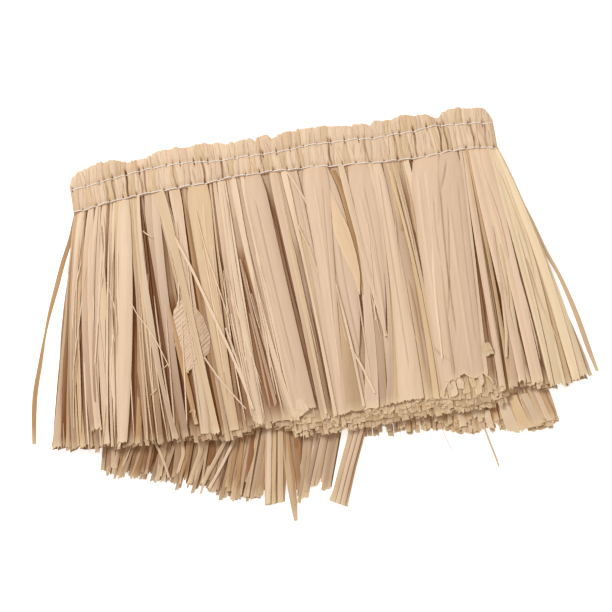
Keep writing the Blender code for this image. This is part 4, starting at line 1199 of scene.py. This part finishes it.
CRUMPLED_BITS = (
    ("light", 0, 1.6, ((86.6, 181, 4, 13.6), (88.4, 185.2, 5, 13), (90.2, 189.4, 4.4, 12.2))),
    ("light", 0.05, 1.4, ((95.4, 179.6, 4.4, 13.6), (96.6, 183.4, 5, 13.1), (96.2, 187.6, 4, 12.3))),
    ("gold", 0, 1.2, ((104.4, 180.6, 3.6, 13.7), (105, 184.4, 4.4, 13.1), (106, 188.4, 3.4, 12.3))),
    ("light", 0, -1.6, ((110.8, 180, 3.4, 13.8), (111.4, 184, 3.6, 13.2), (111, 187.8, 3, 12.4))),
    ("light", 0, 0.0, (
        (113.4, 179, 1.4, 14.2), (115.6, 182, 1.6, 14.7), (117.8, 184, 1.4, 14.7), (119, 187.6, 1, 13.8))),
    ("beige", 0, -1.2, (
        (118, 158.6, 5.4, 13.6), (118.6, 161.2, 6.6, 14.2), (119.4, 164.4, 6.8, 14.2),
        (120, 167.6, 6.2, 13.4))),
    ("light", 0, -4, (
        (-15.6, 176, 3, 14.2), (-15, 180, 6, 14.9), (-14.4, 184, 8.4, 14.9), (-14, 187.6, 9, 14.2))),
    ("light", 0, 1.5, ((-20, 183, 2, 13.8), (-19, 187, 3, 14.2), (-18.8, 191, 3, 13.6))),
    ("light", 0.04, 2.4, (
        (123, 196, 6, 5.6), (124.4, 206, 7.6, 6), (126, 214, 8.4, 5.2), (127.6, 222, 8.6, 4))),
    ("gold", 0.04, -2, (
        (131, 197, 5.4, 5.8), (132.6, 206, 6.4, 6), (134.6, 213, 7, 5.2), (136.6, 221.5, 7.4, 4))),
    ("light", 0.06, 1.6, (
        (139.4, 197, 4.4, 5.8), (142, 206, 5.6, 5.8), (144, 212, 6, 5.1), (146.2, 219.6, 6.2, 4))),
    ("light", 0.05, 2, ((112, 204, 3.4, 5.8), (111.6, 209, 4.4, 5.9), (112.6, 217, 4.6, 4.6))),
)
FINE_FIBRES = (
    ("light", 0, 0.0, (
        (-121, 88, 0.5, 12.6), (-118, 98, 0.7, 13), (-112, 108, 0.8, 13.2), (-107, 120, 0.8, 13.4),
        (-101, 139, 0.5, 13.6))),
    ("light", 0, 0.0, ((-105, 39, 0.9, 11.2), (-102, 42.5, 1.1, 11.6), (-98.5, 45, 0.7, 11.2))),
    ("light", 0, 0.0, ((-117, 156.5, 0.7, 13.6), (-114.5, 155, 0.9, 13.9), (-112, 152.6, 0.6, 13.6))),
    ("beige", 0, 0.0, ((-106.5, 139.5, 0.7, 13.4), (-104, 138.6, 0.9, 13.7), (-101.5, 136.6, 0.6, 13.4))),
    ("light", 0, 0.0, (
        (-92, 173, 0.6, 13.4), (-90, 171, 0.8, 13.8), (-88, 173, 0.8, 14), (-89, 177, 0.5, 13.8))),
    ("grey", 0.15, 0.0, (
        (107.5, 212, 1.4, 3.6), (110, 226, 1.5, 2.4), (112.6, 238, 1.5, 1.4), (113.4, 244, 1.1, 1))),
    ("grey", 0.15, 0.0, ((78, 207, 0.5, 4.4), (81, 220, 0.6, 2.6), (84.5, 231, 0.4, 1.2))),
    ("light", 0, 0.0, ((-190, 176, 0.4, 4), (-193, 186, 0.5, 2), (-194.5, 192, 0.4, 1))),
    ("light", 0, 0.0, (
        (-66, 30, 0.5, 10.8), (-63.5, 60, 0.8, 11.6), (-57.5, 95, 0.7, 12.4), (-55, 112, 0.4, 12.6))),
    ("light", 0, 0.0, ((52, 60, 0.5, 11.6), (49.5, 95, 0.7, 12.4), (46, 130, 0.5, 13))),
)

# A wide torn piece of leaf, by the x of its left and right edges down its length. Its side ribs are
# LEAF_RIB_MM apart and slant across it, and they wander and fade in and out.
LEAF_LEFT = np.array(((93.0, -88.5), (101.0, -92.5), (115.0, -96.0), (131.0, -93.5), (144.0, -90.6)))
LEAF_RIGHT = np.array(
    ((93.0, -80.0), (107.0, -72.5), (123.0, -69.5), (133.0, -72.0), (139.0, -80.0), (144.0, -88.5))
)
LEAF_ROWS = 96
LEAF_ACROSS = 44
LEAF_LEVEL = 2.5
LEAF_RAGGED = (0.7, 0.9, 0.37)
LEAF_RIB_MM = 2.9
LEAF_RIB_SLANT = 0.9
LEAF_RIB_WANDER = (1.6, 0.21, 0.09)
LEAF_RIB_STRENGTH = (0.55, 0.45, 1.9, 0.23, 0.11)
LEAF_RIB_HEIGHT = 0.45
LEAF_CROWN = 0.5
LEAF_GROOVE = (0.8, 0.12, 0.2)
LEAF_SHADED = (0.2, -82.0, 8.0)
LEAF_SHADE = 0.02
LEAF_JAG = 1.6
LEAF_SEED = 64


def leaf_ribs(x, down):
    """Where a point of the leaf lies between two ribs, from 0 to 1, and how strong the rib is there.
    The ribs are a saw-tooth of down and x together."""
    sway, by_x, by_down = LEAF_RIB_WANDER
    phase = (down + LEAF_RIB_SLANT * x + sway * np.sin(by_x * x + by_down * down)) / LEAF_RIB_MM
    number = np.floor(phase)
    steady, change, by_rib, by_x, by_down = LEAF_RIB_STRENGTH
    return phase - number, steady + change * np.sin(by_rib * number) * np.cos(by_x * x - by_down * down)


def leaf_dark(x, down):
    """Painted shade on the leaf: a bell in the groove beside each rib, and more towards its right side."""
    tooth, strength = leaf_ribs(x, down)
    shade, place, half = LEAF_GROOVE
    right_shade, right_from, right_mm = LEAF_SHADED
    groove = shade * strength * np.exp(-(((tooth - place) / half) ** 2))
    return groove + right_shade * np.clip((x - right_from) / right_mm, 0.0, 1.0)


def torn_leaf():
    """The torn leaf as one ribbon: it lies on the pile, crowned, with its ribs raised and its left
    edge ragged by two sines of down multiplied together."""
    random = np.random.default_rng(LEAF_SEED)
    down = np.linspace(LEAF_LEFT[0, 0], LEAF_LEFT[-1, 0], LEAF_ROWS)[None, :]
    size, fine, coarse = LEAF_RAGGED
    left = at_x(LEAF_LEFT, down) + size * np.sin(fine * down) * np.sin(coarse * down)
    right = at_x(LEAF_RIGHT, down)
    share = np.linspace(0.0, 1.0, LEAF_ACROSS)
    x = left[..., None] + (right - left)[..., None] * share
    tooth, strength = leaf_ribs(x, down[..., None])
    raised = LEAF_RIB_HEIGHT * tooth * strength + LEAF_CROWN * np.sin(np.pi * share)
    top = pile_height(x, down[..., None], LEAF_LEVEL) + raised
    colours = tints(["pink"], random, 0.0)
    shade = np.array([LEAF_SHADE])
    return ribbon_batch(left, right, down, top, RIBBON_MM, colours, shade, random, LEAF_JAG, None, leaf_dark)


# Thin light strands on top of the pile, more of them on its left than on its right, by their places,
# starts, lengths and last ends, slant and bow, widths, levels and shade. Both ends of each are
# narrower and lie lower, by THIN_TAPER and THIN_SINK.
THIN_LEFT_SHARE = 0.6
THIN_LEFT = (0.02, 0.42)
THIN_RIGHT = (0.42, 0.98)
THIN_STARTS = (22.0, 110.0)
THIN_LENGTHS = (40.0, 150.0)
THIN_LAST = (183.0, 191.0)
THIN_SLANT = 3.5
THIN_BOW = 1.5
THIN_WIDTHS = (0.5, 1.15)
THIN_TAPER = (4.0, 0.35)
THIN_LEVELS = (3.2, 3.9)
THIN_SINK = (1.1, 6.0)
THIN_TINTS = ("light", "light", "pink", "beige")
THIN_SHADES = (0.0, 0.15)
THIN_MM = 0.2
THIN_JAG = 0.4


def thin_strands(count, seed, rows, across):
    """Narrow light strands that lie on top of the pile, each over part of its length, and cross
    the ones below at a small slant."""
    random = np.random.default_rng(seed)
    each = (count, 1)
    at_left = random.random(each) < THIN_LEFT_SHARE
    place = np.where(at_left, random.uniform(*THIN_LEFT, each), random.uniform(*THIN_RIGHT, each))
    begin = random.uniform(*THIN_STARTS, each)
    end = np.minimum(begin + random.uniform(*THIN_LENGTHS, each), random.uniform(*THIN_LAST, each))
    t = np.linspace(0.0, 1.0, rows)
    down = begin + (end - begin) * t
    slant = random.normal(0.0, THIN_SLANT, each)
    bow = random.normal(0.0, THIN_BOW, each)
    middle = fan_x(place[:, 0], down) + slant * (t - 0.5) + bow * np.sin(np.pi * t)
    from_end = np.minimum(t, 1.0 - t)
    rate, least = THIN_TAPER
    half = 0.5 * random.uniform(*THIN_WIDTHS, each) * np.clip(rate * from_end + least, 0.0, 1.0)
    sink, rate = THIN_SINK
    level = random.uniform(*THIN_LEVELS, each) - sink * (1.0 - np.clip(rate * from_end, 0.0, 1.0))
    left, right = middle - half, middle + half
    base = pile_height(middle, down, level)
    top = raffia_heights(left, right, base, across, random, wave=BACK_WAVE)
    names = picked(THIN_TINTS, random, count)
    shade = random.uniform(*THIN_SHADES, count)
    return ribbon_batch(left, right, down, top, THIN_MM, tints(names, random), shade, random, THIN_JAG)


loose_strands = quad_mesh(
    "loose_strands",
    *joined(
        [
            path_batch(LOOSE_STRANDS, rows=44, across=6, seed=61, wave=0.08, roll=0.25, folds=0.2),
            path_batch(
                CRUMPLED_BITS, rows=16, across=9, seed=65, end_jag=0.5,
                wave=0.1, roll=0.15, folds=0.6, pitch=(0.3, 0.6),
            ),
            path_batch(FINE_FIBRES, rows=22, across=3, seed=62, wave=0.0, roll=0.1, folds=0.0),
            thin_strands(count=70, seed=63, rows=14, across=3),
            torn_leaf(),
        ]
    ),
    split_raffia,
)
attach(loose_strands, "root")

# The headings: a gathered shell for each of the two layers, whose pleats lean and overlap, pulled in
# along both rows of stitches and pitted where the thread goes through. BAND_CREASES are the deep ones
# between the rows, by x and depth. Pleats come in four sizes, by their least and greatest width.
BAND_ENDS = (-151.8, 151.8)
BAND_CREASES = (
    (-126, 0.5), (-121, 0.6), (-111, 1), (-101, 0.5), (-98, 0.8), (-77, 0.5), (-56, 0.9), (-43, 0.8),
    (-14, 0.7), (12, 0.4), (34, 0.8), (60, 0.6), (81, 0.6), (95, 0.7), (113, 1), (117, 0.6), (136, 0.7),
    (145, 0.5),
)
TOP_PLEATS = (2.4, 7.0)
SEAM_PLEATS = (2.0, 6.0)
FINE_PLEATS = (1.0, 2.6)
EDGE_PLEATS = (1.2, 3.0)
PLEATS_FROM = -165.0
PLEATS_OVER = 330.0
PLEAT_LEAN = 0.16
PLEAT_STEP = 0.9
PLEAT_SWAY = (0.2, 0.13, 0.35)
LEAN_FROM = 5.0


def gathers(x, down, seed, width):
    """Pleats across the heading: how far each point stands up its pleat, from 0 in a crease to 1
    on the ridge, the pleat's number, its own lift and its step at the top edge. A pleat is the upper
    half of an ellipse between two edges, and the edges lean and sway."""
    random = np.random.default_rng(seed)
    count = int(PLEATS_OVER / np.mean(width))
    edges = PLEATS_FROM + np.cumsum(random.uniform(*width, count))
    lean = random.uniform(-PLEAT_LEAN, PLEAT_LEAN, count)
    lift = random.uniform(-1.0, 1.0, count)
    step = random.uniform(-PLEAT_STEP, PLEAT_STEP, count)
    size, by_x, by_down = PLEAT_SWAY
    warp = x + size * np.sin(by_x * x + by_down * down) - (down - LEAN_FROM) * np.interp(x, edges, lean)
    index = np.clip(np.searchsorted(edges, warp) - 1, 0, count - 2)
    share = np.clip((warp - edges[index]) / (edges[index + 1] - edges[index]), 0.0, 1.0)
    return np.sqrt(4.0 * share * (1.0 - share)), index, lift[index], step[index]


# The stitches' pitch, where each row's first one lies, and the half width and half length of a pit,
# each with how much it differs from stitch to stitch
STITCH_MM = 9.8
STITCH_STARTS = {"upper_row": 3.0, "lower_row": 7.3}
PIT_WIDTH = (0.42, 0.15, 3.7)
PIT_LENGTH = (1.8, 0.9, 5.1)


def from_stitch(x, row):
    """The number of the stitch nearest to x in this row, and how far x is from where it goes in."""
    along = (x + STITCH_STARTS[row]) / STITCH_MM
    return np.round(along), (along - np.round(along)) * STITCH_MM


def stitch_pits(x, down, row):
    """Depth of the pits where the thread goes in, one narrow slot across the row at every stitch."""
    number, near = from_stitch(x, row)
    wide = PIT_WIDTH[0] + PIT_WIDTH[1] * np.sin(PIT_WIDTH[2] * number)
    long = PIT_LENGTH[0] + PIT_LENGTH[1] * np.sin(PIT_LENGTH[2] * number + 1.0)
    return np.exp(-((near / wide) ** 2)) * np.exp(-(((down - band_at(x, row)) / long) ** 2))


# Fine wrinkles in the heading's face: how many, their slants, half widths and depths, and for each
# of three zones the distance down of its middle and its half length
WRINKLES = 170
WRINKLE_PLACES = (-150.0, 150.0)
WRINKLE_SLANTS = (-0.22, 0.22)
WRINKLE_HALVES = (0.25, 0.5)
WRINKLE_DEPTHS = (0.3, 1.0)
WRINKLE_ZONES = ((5.0, 4.5), (11.0, 3.0), (-7.0, 5.0))
WRINKLE_SWAY = (0.12, 0.5)


def wrinkles(x, down, random):
    """Depth of the fine wrinkles at x and down: the deepest of bells across each one's slanting line."""
    depth_here = np.zeros_like(down)
    for at, slant, wide, depth, part in zip(
        random.uniform(*WRINKLE_PLACES, WRINKLES),
        random.uniform(*WRINKLE_SLANTS, WRINKLES),
        random.uniform(*WRINKLE_HALVES, WRINKLES),
        random.uniform(*WRINKLE_DEPTHS, WRINKLES),
        random.integers(0, len(WRINKLE_ZONES), WRINKLES),
    ):
        centre, reach = WRINKLE_ZONES[part]
        along = np.exp(-(((down - centre) / reach) ** 4))
        line = at + slant * (down - centre) + WRINKLE_SWAY[0] * np.sin(WRINKLE_SWAY[1] * down + at)
        depth_here = np.maximum(depth_here, depth * along * np.exp(-(((x - line) / wide) ** 2)))
    return depth_here


# Deep creases: how they sway, their half width, and how they fade out above the upper row
CREASE_SWAY = (0.4, 0.3)
CREASE_HALF = 0.6
CREASE_ABOVE = (5.0, 4.0)


def deep_creases(x, down, upper):
    """Depth of BAND_CREASES at x and down: a bell across each line, faded out above the upper row."""
    crease = np.zeros_like(down)
    between = np.clip((down - upper + CREASE_ABOVE[0]) / CREASE_ABOVE[1], 0.0, 1.0)
    for at, depth in BAND_CREASES:
        bent = at + CREASE_SWAY[0] * np.sin(CREASE_SWAY[1] * down + at)
        crease = np.maximum(crease, depth * np.exp(-(((x - bent) / CREASE_HALF) ** 2)) * between)
    return crease


# The shell's shape: how far the seam lies past the lower stitches, how the top edge steps, where the
# upper pleats take over, how far around each row the thread pulls, how the folded top and both ends
# round off, and what each kind of relief adds to or takes from the face's height over the middle
SEAM_PAST = 0.9
TOP_DROP = 1.0
SMALL_STEPS = 0.6
TAKE_OVER_MM = 0.8
UPPER_PULL_MM = 2.4
LOWER_PULL_MM = 2.6
FOLD_MM = 4.0
END_MM = 4.0
FACE_DROP = 1.4
PULL_SHARE = 0.14
RIDGE_MM = 0.7
FINE_MM = 0.25
LIFT_MM = 0.4
PIT_MM = 1.6
DEEP_MM = 1.3
WRINKLE_MM = 0.25
TUCK_MM = 1.4
LOWEST_SHARE = 0.8

# Its colours: the pleats' tints, their spread, how many are drawn, how far the upper pleats' tints
# lie on in that list, the painted shade of its back, and how much painted shade each kind of hollow gets
HEADING_TINTS = ("light", "light", "pink", "light", "beige")
HEADING_TINT_SPREAD = 0.03
TINTS_DRAWN = 400
UPPER_TINTS_ON = 150
BACK_SHADE = 0.04
DARKEST = 0.95
PLEAT_DARK = 0.3
FINE_DARK = 0.08
DEEP_DARK = 0.85
PIT_DARK = 1.2
WRINKLE_DARK = 0.35
PULL_DARK = 0.04


def heading(low, high, seed, columns, rows, back_rows):
    """A closed shell round the heading: the sewn face in rows from the seam to the folded top, then
    its back. The face stands over the middle by pleats, less pits, creases, wrinkles and the pull of
    the thread, and both faces meet in the fold at the top, in the seam and at the ends."""
    x = np.linspace(*BAND_ENDS, columns)[:, None]
    top, upper, lower = [band_at(x, part) for part in BAND_COLUMNS[1:]]
    seam = lower + SEAM_PAST
    _, _, _, step = gathers(x, top, seed, TOP_PLEATS)
    _, _, _, small_step = gathers(x, top, seed + 3, EDGE_PLEATS)
    top = top - TOP_DROP + step + SMALL_STEPS * small_step
    down = seam + (top - seam) * np.linspace(0.0, 1.0, rows)[None, :]
    above = 1.0 / (1.0 + np.exp((down - upper) / TAKE_OVER_MM))
    ridge_low, index, lift_low, _ = gathers(x, down, seed + 1, SEAM_PLEATS)
    ridge_high, index_high, lift_high, _ = gathers(x, down, seed, TOP_PLEATS)
    fine, _, _, _ = gathers(x, down, seed + 2, FINE_PLEATS)
    ridge = ridge_low + (ridge_high - ridge_low) * above
    lift = lift_low + (lift_high - lift_low) * above
    pull = np.exp(-(((down - upper) / UPPER_PULL_MM) ** 2)) + np.exp(-(((down - lower) / LOWER_PULL_MM) ** 2))
    crease = deep_creases(x, down, upper)
    random = np.random.default_rng(seed + 9)
    wrinkle = wrinkles(x, down, random)
    fold = np.sqrt(np.clip((down - top) / FOLD_MM, 0.0, 1.0))
    ends = np.clip((np.minimum(x - BAND_ENDS[0], BAND_ENDS[1] - x)) / END_MM, 0.0, 1.0) ** 0.5
    tuck = np.clip((down - lower) / SEAM_PAST, 0.0, 1.0)
    middle, depth = 0.5 * (low + high), high - low
    body = 0.5 * depth - FACE_DROP - PULL_SHARE * depth * pull
    body = body + RIDGE_MM * ridge + FINE_MM * fine + LIFT_MM * lift * ridge
    pits = stitch_pits(x, down, "upper_row") + stitch_pits(x, down, "lower_row")
    stands = body - PIT_MM * pits - DEEP_MM * crease - WRINKLE_MM * wrinkle - TUCK_MM * tuck
    face = middle + np.maximum(stands, -LOWEST_SHARE * (middle - low)) * fold * ends
    back_down = seam + (top - seam) * np.linspace(1.0, 0.0, back_rows + 2)[None, 1:-1]
    back_fold = np.sqrt(np.clip((back_down - top) / FOLD_MM, 0.0, 1.0))
    back = middle - (middle - low) * back_fold * ends
    ring_down = np.concatenate([down, back_down, seam], axis=1)
    ring_z = np.concatenate([face, back, middle - (middle - low) * ends], axis=1)
    ring = ring_down.shape[1]
    ring_x = np.repeat(x, ring, axis=1)
    points = np.stack([ring_x, ring_down, ring_z], axis=-1)
    grid = np.arange(columns * ring).reshape(columns, ring)
    quads = np.concatenate([tube_sides(grid), end_cap(grid[0]), end_cap(grid[-1])[:, ::-1]])
    colours = tints(picked(HEADING_TINTS, random, TINTS_DRAWN), random, HEADING_TINT_SPREAD)
    mixed = colours[index] + (colours[index_high + UPPER_TINTS_ON] - colours[index]) * above[..., None]
    # Painted shade in the hollows: between pleats, in fine pleats, deep creases, stitch pits, wrinkles and
    # along the thread's pull
    painted_hollow_shade = PLEAT_DARK * (1.0 - ridge) ** 3 + FINE_DARK * (1.0 - fine) ** 3 + DEEP_DARK * crease
    painted_hollow_shade = painted_hollow_shade + PIT_DARK * pits + WRINKLE_DARK * wrinkle + PULL_DARK * pull
    tint = np.ones((columns, ring, 4))
    tint[:, :rows, :3] = mixed
    tint[:, rows:, :3] = mixed[:, :1]
    tint[..., 3] = BACK_SHADE
    tint[:, :rows, 3] = np.clip(painted_hollow_shade, 0.0, DARKEST)
    uv = np.stack([ring_x, ring_down], axis=-1)
    return (points.reshape(-1, 3), quads, uv.reshape(-1, 2), tint.reshape(-1, 4)), face, down


# The front heading, and the back one, which lies under it on the table
HEADING_SHARP_DEGREES = 80.0
front_shell, front_face, front_down = heading(
    low=4.4, high=10.4, seed=51, columns=1500, rows=50, back_rows=7
)
front_heading = quad_mesh("front_heading", *front_shell, split_raffia, HEADING_SHARP_DEGREES)
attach(front_heading, "root")
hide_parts("waistband_front")

back_shell, _, _ = heading(low=0.3, high=4.2, seed=71, columns=500, rows=26, back_rows=5)
back_heading = quad_mesh("back_heading", *back_shell, split_raffia, HEADING_SHARP_DEGREES)
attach(back_heading, "root")
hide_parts("waistband_back")

# The stitches: two rows of cream cotton thread along the front heading. Each stitch bows up over
# the gathers and dives into a pit at both ends, and the row sways a little.
THREAD_CREAM = "#EFE4DA"
THREAD_ROUGHNESS = 0.75
THREAD_RADIUS = 0.4
THREAD_INSET = 0.8
THREAD_RINGS = 900
THREAD_SIDES = 6
THREAD_CALM = 13
THREAD_LIFT = 0.5
THREAD_DIVE = 0.9
THREAD_DIVE_HALF = 0.6
STITCH_SWAY = (0.18, 0.6)
ROW_SWAY = (0.25, 0.21)

# Cream cotton sewing thread, matt and slightly warm
thread_material, _ = new_material(
    "cream_cotton_thread", {"Base Color": (*srgb(THREAD_CREAM), 1.0), "Roughness": THREAD_ROUGHNESS}
)


def thread_row(row):
    """A tube along this row of stitches, resting on the heading's face there. The face's height is
    averaged over a few columns, and each end of the tube is closed by two quads."""
    x = np.linspace(BAND_ENDS[0] + THREAD_INSET, BAND_ENDS[1] - THREAD_INSET, THREAD_RINGS)
    columns = np.linspace(*BAND_ENDS, front_face.shape[0])
    nearest = np.abs(front_down - band_at(columns, row)[:, None]).argmin(axis=1)
    height = front_face[np.arange(len(columns)), nearest]
    window = np.ones(THREAD_CALM) / THREAD_CALM
    calm = np.convolve(np.pad(height, THREAD_CALM // 2, mode="edge"), window, mode="valid")
    _, near = from_stitch(x, row)
    z = np.interp(x, columns, calm) + THREAD_LIFT - THREAD_DIVE * np.exp(-((near / THREAD_DIVE_HALF) ** 2))
    stitch = TAU * ((x + STITCH_STARTS[row]) / STITCH_MM)
    sway = STITCH_SWAY[0] * np.sin(stitch + STITCH_SWAY[1])
    v = band_at(x, row) + sway + ROW_SWAY[0] * np.sin(ROW_SWAY[1] * x)
    angle = np.linspace(0.0, TAU, THREAD_SIDES, endpoint=False)
    ring_v = v[:, None] + THREAD_RADIUS * np.cos(angle)
    ring_z = z[:, None] + THREAD_RADIUS * np.sin(angle)
    ring_x = np.repeat(x[:, None], THREAD_SIDES, axis=1)
    points = np.stack([ring_x, ring_v, ring_z], axis=-1).reshape(-1, 3)
    grid = np.arange(len(points)).reshape(THREAD_RINGS, THREAD_SIDES)
    first, last = grid[0], grid[-1]
    ends = np.array([first[[0, 1, 2, 5]], first[[2, 3, 4, 5]], last[[5, 2, 1, 0]], last[[5, 4, 3, 2]]])
    return points, np.concatenate([tube_sides(grid), ends]), points[:, :2].copy(), np.ones((len(points), 4))


stitches = quad_mesh("stitches", *joined([thread_row("upper_row"), thread_row("lower_row")]), thread_material)
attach(stitches, "root")
